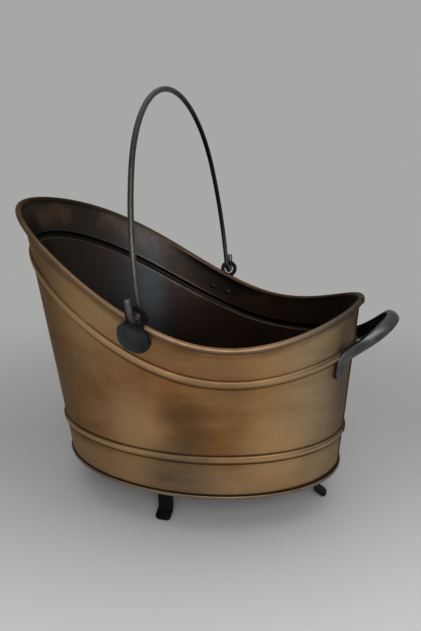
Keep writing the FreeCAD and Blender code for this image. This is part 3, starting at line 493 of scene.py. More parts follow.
def brass_inside():
    inner = Finish("dark_inside", Metallic=BRASS_METAL, Specular_Tint=INSIDE_GLINT)
    clouds = inner.noise(11.0, 5.0)
    streaks = inner.noise(16.0, 4.0, (1.0, 1.0, 0.15))
    strokes = inner.noise(14.0, 5.0, (1.0, 1.0, 6.0), 0.65)
    rub = inner.painted("rub")
    dark = inner.along_length(INSIDE_TONE_SHEEN_AND_SHADE)
    dark = inner.lay(dark, STREAK_VEIL, streaks, 0.42, 0.66, 0.7, "MULTIPLY")
    worn = inner.math("MULTIPLY", rub, inner.ramp(clouds, 0.48, 0.64, 0.03, 0.9))
    soot = inner.ramp(inner.spots(SOOT_SPOTS), 0.0, 0.45)
    worn = inner.math("MULTIPLY", worn, inner.ramp(soot, 0.0, 1.0, 1.0, 0.0))
    dark = inner.mix(worn, dark, COPPERY)
    dark = inner.lay(dark, STROKED, strokes, 0.5, 0.72, 0.3)
    dark = inner.mix(inner.math("MULTIPLY", soot, SOOT_AMOUNT), dark, SOOTED)
    # Painted highlight: a pale line along the edges of each bead groove.
    dark = inner.lay(dark, HIGHLIGHT_EDGE, rub, 0.82, 1.0, 0.8)
    # Dark for painted shade in the bead grooves, and for patina.
    inner.settle(dark, GROOVE_SHADE_BLACK)
    inner.roughness(clouds, 0.3, 0.42)
    inner.bump(inner.noise(300.0, 2.0), 0.08, 0.3)
    return inner.material


inside_finish = brass_inside()
print("inside:", inside_finish.name)

# %% Mix the finish of the rim
# Rim tones from lip to tail, brightest near the ears as a painted highlight.
RIM_TONE_AND_HIGHLIGHT = (
    (-235, 0.095, 0.07, 0.05), (-150, 0.17, 0.11, 0.065), (-20, 0.28, 0.183, 0.116),
    (60, 0.225, 0.14, 0.08), (130, 0.24, 0.158, 0.102), (165, 0.125, 0.102, 0.074),
    (195, 0.075, 0.07, 0.06),
)
# The rim's dark is painted shade under and inside the curl, and patina at the lap.
RIM_VEIL, RIM_SHADE_AND_PATINA = (0.66, 0.6, 0.55), (0.014, 0.010, 0.007)


def brass_rim():
    rim = Finish("rubbed_rim", Metallic=BRASS_METAL, Specular_Tint=BRASS_GLINT)
    clouds = rim.noise(16.0, 4.0)
    worn = rim.lay(rim.along_length(RIM_TONE_AND_HIGHLIGHT), RIM_VEIL, clouds, 0.35, 0.7, way="MULTIPLY")
    rim.settle(worn, RIM_SHADE_AND_PATINA)
    rim.roughness(clouds, 0.34, 0.46)
    return rim.material


rim_finish = brass_rim()
print("rim:", rim_finish.name)

# %% [markdown]
# ## The brass wall
# The real wall is one sheet, bent to an oval, lapped at the tail, beaded twice in rollers and then
# curled over a wire at the top. A cylinder could be stretched and bent into this, but its beads
# would not follow the rim. So the wall is grown in one go: up the outside, round the curl and back
# down the inside. The beads are close rows of the same growth, so their creases stay crisp.

# %% Shape the beads and the dents
LAP_ANGLE, LAP_EASE, LAP_STEP = math.radians(-4.0), math.radians(16.0), 0.9
DENT, DENT_LENGTH, DENT_HEIGHT = 0.32, 60, 45
BEAD_STEPS = (-1.7, -1.3, -1.08, -0.94, -0.8, -0.55, -0.28, 0.0, 0.28, 0.55, 0.8, 0.94, 1.08, 1.3, 1.7)
BEAD_FOOT, BEAD_FULLNESS = 1.08, 0.75
# Along each bead's crest the rubbed tan is also a painted highlight.
CREST_RUB_AND_HIGHLIGHT, CREST_SHADE, CREASE_PATINA_AND_SHADE = 0.8, 0.6, 0.85
# Painted shade dims the top of each bead's crest, more towards the tail.
RUBBED_BAND, CREST_SHADE_BAND = (0.1, 0.5), (0.5, 0.6)
# Both creases of a bead carry patina and painted shade, the lower one a little wider.
LOW_CREASE, HIGH_CREASE = (-1.1, 0.42), (1.1, 0.36)
CREST_SHADE_START, CREST_SHADE_FULL = -0.25, 0.25


def hump(value, place, reach):
    """One at a place, and next to nothing two reaches away from it."""
    return math.exp(-((value - place) / reach) ** 2)


def bead_bump(across):
    """How far a bead stands out, for a place across it in half widths."""
    inside = max(0.0, 1.0 - (across / BEAD_FOOT) ** 2)
    return BEAD_RISE * inside ** BEAD_FULLNESS


def bead_rub_and_highlight(across):
    """Rubbed to a matt tan along the crest, which is also a painted highlight."""
    return CREST_RUB_AND_HIGHLIGHT * hump(across, *RUBBED_BAND)


def bead_patina_and_shade(across, amount):
    """Patina and painted shade in the creases, most below; painted shade on the crest, more towards the
    tail.
    """
    crease = CREASE_PATINA_AND_SHADE * amount * (hump(across, *LOW_CREASE) + hump(across, *HIGH_CREASE))
    crest = CREST_SHADE * hump(across, *CREST_SHADE_BAND)
    return lambda angle: max(crease, crest * share_of(math.cos(angle), CREST_SHADE_START, CREST_SHADE_FULL))


def wall_offset(angle, height, inward):
    """Dents of hand work, and the lapped edge of the sheet at the tail."""
    spot = plan_point(angle, height)
    dent = DENT * noise.noise(Vector((spot.x / DENT_LENGTH, spot.y / DENT_LENGTH, spot.z / DENT_HEIGHT)))
    past = (angle - LAP_ANGLE) / LAP_EASE
    lap = LAP_STEP * (1 - past) ** 2 if 0 <= past < 1 and not inward else 0.0
    return dent + lap - inward


print("a bead stands out %.1f mm" % bead_bump(0.0))

# %% Lay out the lines up the wall
OUTSIDE, INSIDE, RIM = 0, 1, 2
CURL_START, CURL_END, CURL_STEPS = math.radians(200), math.radians(-110), 16
NECK_STEPS, COLLAR_STEPS, PANEL_STEPS = 5, 5, 12
NECK_SWEEP, COLLAR_FADE = 1.5, 4
# A painted shadow darkens the neck under the rolled rim, fading down the collar.
UNDER_RIM_SHADE, NECK_SHADE, FOLD_PATINA_AND_SHADE = 0.48, 0.7, 0.9
LOWER_CREASES, UPPER_CREASES = 1.0, 0.8
SKIRT_RUB, COLLAR_RUB = 0.4, 0.12
# Height of each line below the lower bead, and its patina and painted shade at the sides and at the tail.
SKIRT_LINES = ((48.8, 0.9, 1.0), (50.0, 0.55, 0.95), (51.5, 0.15, 0.8), (54, 0.0, 0.35), (58, 0.0, 0.1),
               (68, 0.0, 0.0), (79, 0.0, 0.0))


def wall_line(height, bump, inward):
    """Place for a turn on one line up the wall."""
    return lambda angle: plan_point(angle, height(angle), bump + wall_offset(angle, height(angle), inward))


def between(low, high, part):
    return lambda angle: low(angle) + (high(angle) - low(angle)) * part


def level(height):
    return lambda angle: height


def at_lower_bead(across):
    return level(LOWER_BEAD + across * BEAD_HALF)


def at_bead(across):
    return lambda angle: bead_height(angle) + across * BEAD_HALF * rim_stretch(angle)


def at_neck(part):
    """Height on the way from the start of the neck to the curl."""
    return lambda angle: rim_height(angle) - rim_neck(angle) * (1 - part) * rim_stretch(angle)


def neck_line(part, inward):
    """Place for a turn on one line of the neck, which sweeps out to the curl."""
    height = at_neck(part)
    reach = part ** NECK_SWEEP
    return lambda angle: plan_point(angle, height(angle), wall_offset(angle, height(angle), inward)
                                    + reach * (rim_kick(angle) - ROLL_RADIUS + SHEET))


def round_roll(turn, radius):
    """Place for a turn on one line round the curled rim."""
    return lambda angle: plan_point(
        angle,
        rim_height(angle) + radius * math.sin(turn) * rim_stretch(angle),
        rim_kick(angle) + radius * math.cos(turn) + wall_offset(angle, rim_height(angle), 0.0))


def more_at_tail(dark, at_tail):
    """Patina and painted shade that grow from the sides to the tail."""
    return lambda angle: dark + (at_tail - dark) * max(0.0, math.cos(angle)) ** 2


def bead_lines(place, amount):
    """Lines across one bead with their bump, patina and painted shade, and rubbing and painted highlight.
    """
    return [(place(across), bead_bump(across), bead_patina_and_shade(across, amount), bead_rub_and_highlight(across))
            for across in BEAD_STEPS]


def face_lines():
    """Lines up one face of the sheet, foot to neck, with bump, patina and painted shade, and rubbing."""
    lines = [(level(BASE_HEIGHT + SHEET), 0.0, FOLD_PATINA_AND_SHADE, 0.0)]
    for height, dark, at_tail in SKIRT_LINES:
        lines.append((level(height), 0.0, more_at_tail(dark, at_tail), SKIRT_RUB))
    lines += bead_lines(at_lower_bead, LOWER_CREASES)
    low, high = at_lower_bead(BEAD_STEPS[-1]), at_bead(BEAD_STEPS[0])
    for step in range(1, PANEL_STEPS):
        lines.append((between(low, high, step / PANEL_STEPS), 0.0, 0.0, 0.0))
    lines += bead_lines(at_bead, UPPER_CREASES)
    low, high = at_bead(BEAD_STEPS[-1]), at_neck(0.0)
    for step in range(1, COLLAR_STEPS + 1):
        part = step / COLLAR_STEPS
        lines.append((between(low, high, part), 0.0, UNDER_RIM_SHADE * part ** COLLAR_FADE, COLLAR_RUB))
    return lines


print("lines up each face:", len(face_lines()))

# %% Grow the wall
LAP_PATINA, LAP_DARK_START, LAP_DARK_END = 0.9, -0.010, 0.002
# Painted shade under the curl and on its inner side.
ROLL_DARK, ROLL_UNDER_REACH, ROLL_INNER_REACH = math.radians(105), 0.5, 0.25
# Painted shade fills the groove of each bead on the inside.
ROLL_INNER_SHADE, GROOVE_SHADE = 0.85, 0.9
# A pale painted highlight runs along the edges of each bead groove on the inside.
INSIDE_RUB, INSIDE_RUB_LINES, HIGHLIGHT_LINE = 0.8, 6, 1.45
WALL_DEGREES = 2
LAP_SHIFTS = (-0.45, -0.2, 0.001, 0.5)


def lap_patina(amount):
    """Patina and painted shade of a line, with the dark edge of the lap added."""
    def settled_and_shaded(angle):
        plain = amount(angle) if callable(amount) else amount
        return max(plain, LAP_PATINA) if LAP_DARK_START < angle - LAP_ANGLE < LAP_DARK_END else plain
    return settled_and_shaded


def roll_shade(turn):
    """The curl stays clear on its top and outside, with painted shade underneath and on its inner side."""
    inner = 1 / (1 + math.exp((ROLL_DARK - turn) / ROLL_INNER_REACH))
    return max(hump(turn, -ROLL_DARK, ROLL_UNDER_REACH), ROLL_INNER_SHADE * inner)


def wall_stations():
    """Every station of the wall: outside, curl and inside."""
    turns = [CURL_START + (CURL_END - CURL_START) * step / CURL_STEPS for step in range(CURL_STEPS + 1)]
    neck_parts = [step / NECK_STEPS for step in range(1, NECK_STEPS)]
    lines = face_lines()
    stations = []
    for height, bump, dark, rub in lines:
        stations.append((wall_line(height, bump, 0.0), lap_patina(dark), rub, OUTSIDE))
    for part in neck_parts:
        dark = UNDER_RIM_SHADE + (NECK_SHADE - UNDER_RIM_SHADE) * part
        stations.append((neck_line(part, 0.0), lap_patina(dark), COLLAR_RUB, OUTSIDE))
    for turn in turns:
        stations.append((round_roll(turn, ROLL_RADIUS - SHEET), FOLD_PATINA_AND_SHADE, 0.0, OUTSIDE))
    for turn in reversed(turns):
        stations.append((round_roll(turn, ROLL_RADIUS), lap_patina(roll_shade(turn)), 0.0, RIM))
    for part in reversed(neck_parts):
        stations.append((neck_line(part, SHEET), 0.0, INSIDE_RUB, INSIDE))
    for number, (height, bump, dark, _) in reversed(list(enumerate(lines))):
        to_rim = max(0.0, 1 - (len(lines) - number) / INSIDE_RUB_LINES)
        on_bead = callable(dark) and number > len(SKIRT_LINES)
        # The edges of each bead groove inside get a painted highlight, carried as rubbing.
        edge = HIGHLIGHT_LINE * dark(math.pi) if on_bead else 0.0
        # Painted shade in the bead's groove on the inside.
        groove = GROOVE_SHADE * bump / BEAD_RISE
        stations.append((wall_line(height, bump, SHEET), groove, max(INSIDE_RUB * to_rim, edge), INSIDE))
    return stations


wall_turns = [math.radians(degrees) for degrees in range(-180, 180, WALL_DEGREES)]
wall_turns += [LAP_ANGLE + math.radians(shift) for shift in LAP_SHIFTS]
wall_turns = sorted(turn for turn in wall_turns if turn != LAP_ANGLE)
wall_bm = bmesh.new()
grow_rings(wall_bm, wall_turns, wall_stations(), closed=True)
finish_piece(wall_bm, "brass_wall", [outside_finish, inside_finish, rim_finish],
             ["bucket_wall", "rim_wire"])

# %% [markdown]
# ## The folded base
# The bottom plate is wider than the wall, and its edge is folded up round the wall's foot and
# pressed flat. That leaves a round band with a dark line above it, patina and painted shade in the
# gap. A bevelled disc would lack that line, so the band's section is drawn as two quarter turns, and
# the two open ends of the growth are filled to make the plate.

# %% Grow the base and its folded seam
SEAM_HEIGHT, SEAM_REACH, SEAM_ROUND, SEAM_STEPS = 4.6, 2.6, 1.25, 5
# Patina and painted shade darken the fold, its tuck and the gap above it.
SEAM_TUCK, SEAM_PINCH, TUCK_PATINA_AND_SHADE = -0.6, 0.03, 0.6
SEAM_BRIGHT, SEAM_DULL, SEAM_PATINA_AND_SHADE = (0.285, 0.215, 0.14), (0.165, 0.122, 0.08), (0.03, 0.02, 0.013)


def seam_line(height, reach):
    """Place for a turn on one line round the seam."""
    return lambda angle: plan_point(angle, height, reach)


def seam_stations():
    top = BASE_HEIGHT + SEAM_HEIGHT
    middle = SEAM_REACH - SEAM_ROUND
    stations = [(seam_line(BASE_HEIGHT + SHEET, SEAM_TUCK), TUCK_PATINA_AND_SHADE, 0.0, INSIDE),
                (seam_line(top - SEAM_ROUND, SEAM_PINCH), FOLD_PATINA_AND_SHADE, 0.0, OUTSIDE)]
    bends = ((top - SEAM_ROUND, 0.0, FOLD_PATINA_AND_SHADE), (BASE_HEIGHT + SEAM_ROUND, math.pi / 2, 0.0))
    for centre, start, dark in bends:
        for step in range(SEAM_STEPS + 1):
            turn = start + math.pi / 2 * step / SEAM_STEPS
            place = seam_line(centre + SEAM_ROUND * math.cos(turn), middle + SEAM_ROUND * math.sin(turn))
            stations.append((place, dark * (1 - step / SEAM_STEPS), 0.0, OUTSIDE))
    return stations


def brass_seam():
    band = Finish("rubbed_seam", Metallic=BRASS_METAL)
    clouds = band.noise(14.0, 4.0)
    worn = band.lay(SEAM_BRIGHT, SEAM_DULL, clouds, 0.35, 0.68)
    band.settle(worn, SEAM_PATINA_AND_SHADE)
    band.roughness(clouds, 0.34, 0.46)
    return band.material


base_bm = bmesh.new()
grow_rings(base_bm, wall_turns, seam_stations())
for face in base_bm.faces:
    if len(face.verts) > 4 and face.normal.z > 0:
        face.material_index = INSIDE
finish_piece(base_bm, "folded_base", [brass_seam(), inside_finish], ["base_pan"])

# %% [markdown]
# ## Iron and steel
# The ears and feet are blackened iron with a dry, slightly grainy skin. The bail is a rod of darker
# steel, rubbed at its free ends, with painted shade over its arch and its far half, and the tail
# handle is a greyer strap. Straps carry painted shade on their inner faces and along their edges.
# Each is the same recipe with its own colours: two tones from a cloud, and a grain that also sets
# how rough the metal is.

# %% Mix the iron and steel finishes
# Dark for soot and for painted shade alike.
SOOT_AND_SHADE_BLACK = (0.004, 0.004, 0.004)
# Name, dark, light and rubbed tones, grain, metallic, smoothest and coarsest roughness, and gloss.
METALS = (
    ("black_iron", (0.009, 0.010, 0.011), (0.036, 0.041, 0.043), (0.07, 0.065, 0.056),
     90.0, 0.6, 0.4, 0.56, 0.2),
    ("sooty_iron", (0.004, 0.0045, 0.006), (0.008, 0.009, 0.011), (0.022, 0.020, 0.020),
     120.0, 0.5, 0.46, 0.62, 0.12),
    ("bail_steel", (0.05, 0.045, 0.04), (0.075, 0.069, 0.062), (0.15, 0.14, 0.128),
     160.0, 0.9, 0.34, 0.44, 0.5),
    ("grey_strap", (0.04, 0.046, 0.046), (0.104, 0.102, 0.107), (0.15, 0.146, 0.148),
     90.0, 0.88, 0.32, 0.44, 0.5),
    ("worn_rivet", (0.014, 0.012, 0.011), (0.026, 0.024, 0.022), (0.06, 0.055, 0.05),
     140.0, 0.9, 0.34, 0.46, 0.5),
)


def forged(name, dark, light, rub, grain, metallic, smooth, coarse, gloss):
    """Metal with two tones, rubbed places and a grain."""
    metal = Finish(name, Metallic=metallic, Specular_IOR_Level=gloss)
    skin = metal.noise(grain, 4.0)
    body = metal.lay(dark, light, metal.noise(28.0, 4.0), 0.35, 0.68)
    body = metal.lay(body, rub, skin, 0.55, 0.78, 0.6)
    body = metal.mix(metal.painted("rub"), body, rub)
    metal.settle(body, SOOT_AND_SHADE_BLACK)
    metal.roughness(skin, smooth, coarse)
    metal.bump(skin, 0.14, 0.3)
    return metal.material


iron_finish, foot_finish, bail_finish, strap_finish, rivet_finish = [forged(*metal) for metal in METALS]
print("iron and steel:", [metal[0] for metal in METALS])

# %% [markdown]
# ## Places on the wall
# An ear or a tab is easiest to shape flat on the origin and then to carry to its place. The frame
# below stands on the wall with one axis along it, one up it and one straight out of it.

# %% Frames that stand on the wall
def axes(origin, along, up, outward):
    """Matrix with X along, Y up and Z outward."""
    turned = Matrix((along, up, outward)).transposed().to_4x4()
    turned.translation = origin
    return turned


def wall_steps(angle, height):
    """Steps on the wall for a small turn along it and for one millimetre of height."""
    along = plan_point(angle + SMALL_TURN / 2, height) - plan_point(angle - SMALL_TURN / 2, height)
    return along, plan_point(angle, height + 1) - plan_point(angle, height)


def wall_frame(angle, height, offset=0.0):
    along, climb = wall_steps(angle, height)
    along = along.normalized()
    outward = along.cross(climb).normalized()
    return axes(plan_point(angle, height) + outward * offset, along, outward.cross(along), outward)


def step_on_wall(angle, height, along, up):
    """Plan angle and height of a point some way along and up the wall."""
    turn_step, height_step = wall_steps(angle, height)
    return angle + along * SMALL_TURN / turn_step.length, height + up / height_step.length


EAR_ANGLE, EAR_DROP, EAR_TURN = math.radians(95.6), 15.1, math.radians(6.6)


def ear_spot(side):
    """Plan angle, height and tilt of an ear; side is -1 near the camera and 1 beyond."""
    angle = side * EAR_ANGLE
    height = rim_height(angle) - EAR_DROP * rim_stretch(angle)
    return angle, height, math.atan(rim_slope(angle)) - side * EAR_TURN


def ear_frame(side):
    angle, height, lean = ear_spot(side)
    return wall_frame(angle, height) @ Matrix.Rotation(lean, 4, "Z")


print("near ear at", [round(part, 1) for part in ear_frame(-1).translation])

# %% [markdown]
# ## The ears
# Each ear is cut from iron plate: a round-ended plate that is riveted below the rim, and a small ring
# above it for the bail's hook. Two discs could be joined, but the real outline flows from one into
# the other. So it is drawn by spinning one point round five centres: the plate's right end, a fillet,
# the ring, the other fillet and the plate's left end. It is filled, cut into rows so that it can
# bend, thickened, softened along its edges, and then stepped outward to clear the rolled rim.

# %% Draw the outline of an ear
PLATE_WIDE, PLATE_TALL = 19.5, 16.5
RING, EYE, EYE_RISE, NECK_FILLET = 12.1, 6.7, 26.0, 5.0
END_STEPS, FILLET_STEPS, RING_STEPS, EYE_STEPS = 24, 8, 32, 36
WELD, FINE_WELD = 0.01, 0.001


def ear_outline(bm):
    """Plate and ring in one outline, with fillets that touch both."""
    end_place = PLATE_WIDE - PLATE_TALL
    from_plate, from_ring = PLATE_TALL + NECK_FILLET, RING + NECK_FILLET
    apart = math.hypot(end_place, EYE_RISE)
    along = (from_plate ** 2 - from_ring ** 2 + apart ** 2) / (2 * apart)
    aside = math.sqrt(from_plate ** 2 - along ** 2)
    right = Vector((end_place + (EYE_RISE * aside - end_place * along) / apart,
                    (EYE_RISE * along + end_place * aside) / apart, 0))
    left = Vector((-right.x, right.y, 0))
    plate_turn = math.pi / 2 + math.atan2(right.y, right.x - end_place)
    ring_start = math.atan2(right.y - EYE_RISE, right.x)
    ring_turn = math.pi - 2 * ring_start
    fillet_turn = (Vector((end_place, 0, 0)) - right).angle(Vector((0, EYE_RISE, 0)) - right)
    first = bm.verts.new((-end_place, -PLATE_TALL, 0))
    point = bm.verts.new((end_place, -PLATE_TALL, 0))
    bm.edges.new((first, point))
    arcs = (((end_place, 0, 0), plate_turn, END_STEPS), (right, -fillet_turn, FILLET_STEPS),
            ((0, EYE_RISE, 0), ring_turn, RING_STEPS), (left, -fillet_turn, FILLET_STEPS),
            ((-end_place, 0, 0), plate_turn, END_STEPS))
    for centre, turn, steps in arcs:
        spun = bmesh.ops.spin(bm, geom=[point], cent=centre, axis=(0, 0, 1), dvec=(0, 0, 0),
                              angle=turn, steps=steps, use_merge=False)
        point = only(BMVert, spun["geom_last"])[0]
    bmesh.ops.remove_doubles(bm, verts=bm.verts, dist=WELD)


print("an ear is %.0f mm wide, and its eye is %.1f mm" % (2 * PLATE_WIDE, 2 * EYE))

# %% Shape the ears
EAR_BACK, EAR_FRONT = -0.6, 3.0
STEP_LOW, STEP_HIGH, STEP_OUT = -1.0, 10.6, 5.15
STEP_ROWS = (-12, -6, 0, 1.5, 3, 4.5, 6, 7.5, 9, 10.5, 14, 19)
STEP_COLUMNS = (-12, -6, 0, 6, 12)
WALL_CURVE = 250.0
CORNER, SOFT_EDGE, SOFT_STEPS = math.radians(60), 0.6, 3
HAMMER, HAMMER_LENGTH = 0.18, 7
RING_SOOT, SOOT_START, SOOT_FULL = 0.95, 9.0, 17.0
SIDES = ((-1, "near"), (1, "far"))


def everything(bm):
    return bm.verts[:] + bm.edges[:] + bm.faces[:]


def soften(bm, edges):
    """Round the edges off a little."""
    bmesh.ops.bevel(bm, geom=edges, offset=SOFT_EDGE, segments=SOFT_STEPS, profile=0.5,
                    affect="EDGES", material=-1)


def ease_in_out(part):
    """Part of the way, slow at both ends."""
    return part * part * (3 - 2 * part)


def ear_piece(side, name, node):
    bm = bmesh.new()
    ear_outline(bm)
    bmesh.ops.create_circle(bm, segments=EYE_STEPS, radius=EYE, matrix=Matrix.Translation((0, EYE_RISE, 0)))
    bmesh.ops.triangle_fill(bm, edges=bm.edges, use_beauty=True, normal=(0, 0, 1))
    cuts = [((0, height, 0), (0, 1, 0)) for height in STEP_ROWS]
    cuts += [((across, 0, 0), (1, 0, 0)) for across in STEP_COLUMNS]
    for spot, normal in cuts:
        bmesh.ops.bisect_plane(bm, geom=everything(bm), dist=WELD, plane_co=spot, plane_no=normal)
    front = bmesh.ops.extrude_face_region(bm, geom=bm.faces[:], use_keep_orig=True)["geom"]
    bmesh.ops.translate(bm, vec=(0, 0, EAR_FRONT - EAR_BACK), verts=only(BMVert, front))
    bmesh.ops.recalc_face_normals(bm, faces=bm.faces)
    soften(bm, [edge for edge in bm.edges if edge.calc_face_angle(0.0) > CORNER])
    soot = bm.verts.layers.float.new("patina")
    for vert in bm.verts:
        vert[soot] = RING_SOOT * share_of(vert.co.y, SOOT_START, SOOT_FULL)
        step = STEP_OUT * ease_in_out(share_of(vert.co.y, STEP_LOW, STEP_HIGH))
        bow = vert.co.x ** 2 / (2 * WALL_CURVE)
        hammer = HAMMER * noise.noise(Vector((vert.co.x / HAMMER_LENGTH, vert.co.y / HAMMER_LENGTH, side)))
        vert.co.z += EAR_BACK + step - bow + hammer
    bmesh.ops.transform(bm, matrix=ear_frame(side), verts=bm.verts)
    finish_piece(bm, name, [iron_finish], [node])


for side, label in SIDES:
    ear_piece(side, label + "_bail_ear", label + "_ear")

# %% [markdown]
# ## Rivets
# Round-headed rivets hold the ears, the tail handle and the feet. A ball on a cylinder would look
# much the same, but it would hide faces inside. So the half section of one rivet is drawn as a short
# chain of edges and spun a full turn round its own axis. The struck end stands a little proud of the
# outer face, as a hammered rivet does.

# %% Spin the rivets
RIVET, HEAD, DOME, STRUCK = 2.5, 4.0, 2.0, 0.25
STRUCK_END, STRUCK_NARROW, STRUCK_CROWN = 1, 0.8, 1.2
HEAD_STEPS, RIVET_STEPS = 5, 20
BEDDING = 0.06


def add_rivet(bm, place, grip):
    """Spin one rivet with its head on Z = 0 looking up, then carry it to its place."""
    ball = (HEAD * HEAD + DOME * DOME) / (2 * DOME)
    widest = math.asin(HEAD / ball)
    section = []
    for step in range(HEAD_STEPS + 1):
        turn = widest * step / HEAD_STEPS
        section.append((ball * math.sin(turn), 0, ball * math.cos(turn) - ball + DOME))
    section += [(RIVET, 0, 0), (RIVET, 0, -grip), (STRUCK_NARROW * RIVET, 0, -grip - STRUCK),
                (0, 0, -grip - STRUCK_CROWN * STRUCK)]
    chain = [bm.verts.new(spot) for spot in section]
    edges = [bm.edges.new(pair) for pair in zip(chain, chain[1:])]
    before = set(bm.verts) - set(chain)
    faces_before = set(bm.faces)
    bmesh.ops.spin(bm, geom=chain + edges, cent=(0, 0, 0), axis=(0, 0, 1), dvec=(0, 0, 0),
                   angle=2 * math.pi, steps=RIVET_STEPS, use_merge=True)
    made = [vert for vert in bm.verts if vert not in before]
    bmesh.ops.remove_doubles(bm, verts=made, dist=FINE_WELD)
    made = [vert for vert in bm.verts if vert not in before]
    for face in bm.faces:
        if face not in faces_before and face.calc_center_median().z < -grip / 2:
            face.material_index = STRUCK_END
    bmesh.ops.transform(bm, matrix=place, verts=made)


def rivets_piece(name, node, places, grip, head_and_end):
    bm = bmesh.new()
    for place in places:
        add_rivet(bm, place, grip)
    bmesh.ops.recalc_face_normals(bm, faces=bm.faces)
    finish_piece(bm, name, head_and_end, [node])


def head_inside(angle, height):
    """Frame of a rivet whose head lies on the inside of the wall."""
    under = Matrix.Translation((0, 0, -SHEET - BEDDING))
    return wall_frame(angle, height) @ under @ Matrix.Rotation(math.pi, 4, "X")


EAR_RIVET_GAP, EAR_RIVET_DROP = 25.4, 7.2
EAR_GRIP = SHEET + BEDDING + EAR_FRONT
for side, label in SIDES:
    angle, height, lean = ear_spot(side)
    places = []
    for way in (-EAR_RIVET_GAP / 2, EAR_RIVET_GAP / 2):
        along = way * math.cos(lean) + EAR_RIVET_DROP * math.sin(lean)
        up = way * math.sin(lean) - EAR_RIVET_DROP * math.cos(lean)
        places.append(head_inside(*step_on_wall(angle, height, along, up)))
    rivets_piece(label + "_ear_rivet_pair", label + "_ear_rivets", places, EAR_GRIP,
                 [rivet_finish, iron_finish])

# %% [markdown]
# ## The bail
# The bail is one round rod: a broad arch with a hook at each end that goes out through the ear's
# eye, hangs low in it and turns up. A curve with a round bevel could make it, but spinning keeps
# every arc true. A ring of edges starts at the top and is spun down the arch, drawn down the leg and
# spun round the hook. One half is enough, because mirroring it gives the other. Use has bowed the
# rod a little towards the tail, and painted shade darkens its arch and most of all its far half.

# %% Spin the bail
ROD = 3.15
EYE_OUT, BAIL_SAG, HOOK_OUT = 6.4, 2.77, 1.6
BAIL_RISE, TOP_RADIUS, LEG, HOOK, STUB = 239.0, 145.0, 25.0, 10.4, 14.5
SPLAY, BAIL_LEAN = math.radians(10.0), math.radians(6.1)
ROD_SIDES, ARCH_STEPS, FLANK_STEPS, LEG_STEPS, HOOK_STEPS, STUB_STEPS = 20, 30, 18, 4, 18, 3
BAIL_BOW, WAVE, WAVE_LENGTH = 2.5, 0.1, 9
# Painted shade on the bail's arch and most of all on its far half.
STUB_RUB, TOP_SHADE, FAR_SHADE, FAR_FULL = 0.6, 0.4, 0.72, 1 / 3


def spin_ring(bm, edges, centre, angle, steps):
    """Spin a ring round a centre in the plane of the bail."""
    points = list({vert for edge in edges for vert in edge.verts})
    spun = bmesh.ops.spin(bm, geom=points + edges, cent=centre, axis=(1, 0, 0), dvec=(0, 0, 0),
                          angle=angle, steps=steps, use_merge=False)
    return only(BMEdge, spun["geom_last"])


def draw_ring(bm, edges, way, steps):
    """Draw a ring out straight in a few steps."""
    for _ in range(steps):
        points, edges = extrude_ring(bm, edges)[:2]
        bmesh.ops.translate(bm, vec=Vector(way) / steps, verts=points)
    return edges


far_eye = ear_frame(1) @ Vector((0, EYE_RISE, EYE_OUT))
hinge = Vector((far_eye.x, 0, far_eye.z - BAIL_SAG))
half_span = far_eye.y
hook_middle = half_span + HOOK_OUT
leg_side = hook_middle - HOOK
drop = BAIL_RISE - TOP_RADIUS - LEG
flank = (leg_side ** 2 + drop ** 2 - TOP_RADIUS ** 2) / (2 * (leg_side - TOP_RADIUS))
shoulder = math.atan2(drop, flank - leg_side)
bail_bm = bmesh.new()
start = Matrix.Translation((0, 0, BAIL_RISE)) @ Matrix.Rotation(math.pi / 2, 4, "X")
bmesh.ops.create_circle(bail_bm, segments=ROD_SIDES, radius=ROD, matrix=start)
ring = bail_bm.edges[:]
ring = spin_ring(bail_bm, ring, (0, 0, BAIL_RISE - TOP_RADIUS), shoulder - math.pi / 2, ARCH_STEPS)
ring = spin_ring(bail_bm, ring, (0, leg_side - flank, LEG), -shoulder, FLANK_STEPS)
ring = draw_ring(bail_bm, ring, (0, 0, HOOK - LEG), LEG_STEPS)
ring = spin_ring(bail_bm, ring, (0, hook_middle, HOOK), math.pi - SPLAY, HOOK_STEPS)
ring = draw_ring(bail_bm, ring, (0, STUB * math.sin(SPLAY), STUB * math.cos(SPLAY)), STUB_STEPS)
end_face = bmesh.ops.edgeloop_fill(bail_bm, edges=ring)["faces"][0]
soften(bail_bm, list(end_face.edges))
bmesh.ops.mirror(bail_bm, geom=everything(bail_bm), matrix=Matrix.Identity(4), merge_dist=WELD, axis="Y")
bmesh.ops.remove_doubles(bail_bm, verts=bail_bm.verts, dist=WELD)
bmesh.ops.recalc_face_normals(bail_bm, faces=bail_bm.faces)
bail_bm.normal_update()
worn_end, arch_and_far_shade = map(bail_bm.verts.layers.float.new, ("rub", "patina"))
for vert in bail_bm.verts:
    rise = max(0.0, vert.co.z / BAIL_RISE)
    to_far = share_of(vert.co.y, -half_span / 2, half_span / 2)
    # Painted shade darkens the arch and most of all the far half.
    on_arch = rise ** 2 * (TOP_SHADE + (FAR_SHADE - TOP_SHADE) * to_far)
    vert[arch_and_far_shade] = max(on_arch, FAR_SHADE * to_far ** 2 * share_of(rise, 0.0, FAR_FULL))
    on_stub = abs(vert.co.y) > hook_middle + HOOK / 2 and vert.co.z > HOOK
    vert[worn_end] = STUB_RUB if on_stub else 0.0
    vert.co += vert.normal * WAVE * noise.noise(vert.co / WAVE_LENGTH)
    vert.co.x += BAIL_BOW * rise ** 2
stand = Matrix.Translation(hinge) @ Matrix.Rotation(-BAIL_LEAN, 4, "Y")
bmesh.ops.transform(bail_bm, matrix=stand, verts=bail_bm.verts)
finish_piece(bail_bm, "wire_bail", [bail_finish], ["bail_handle"], body="bail")

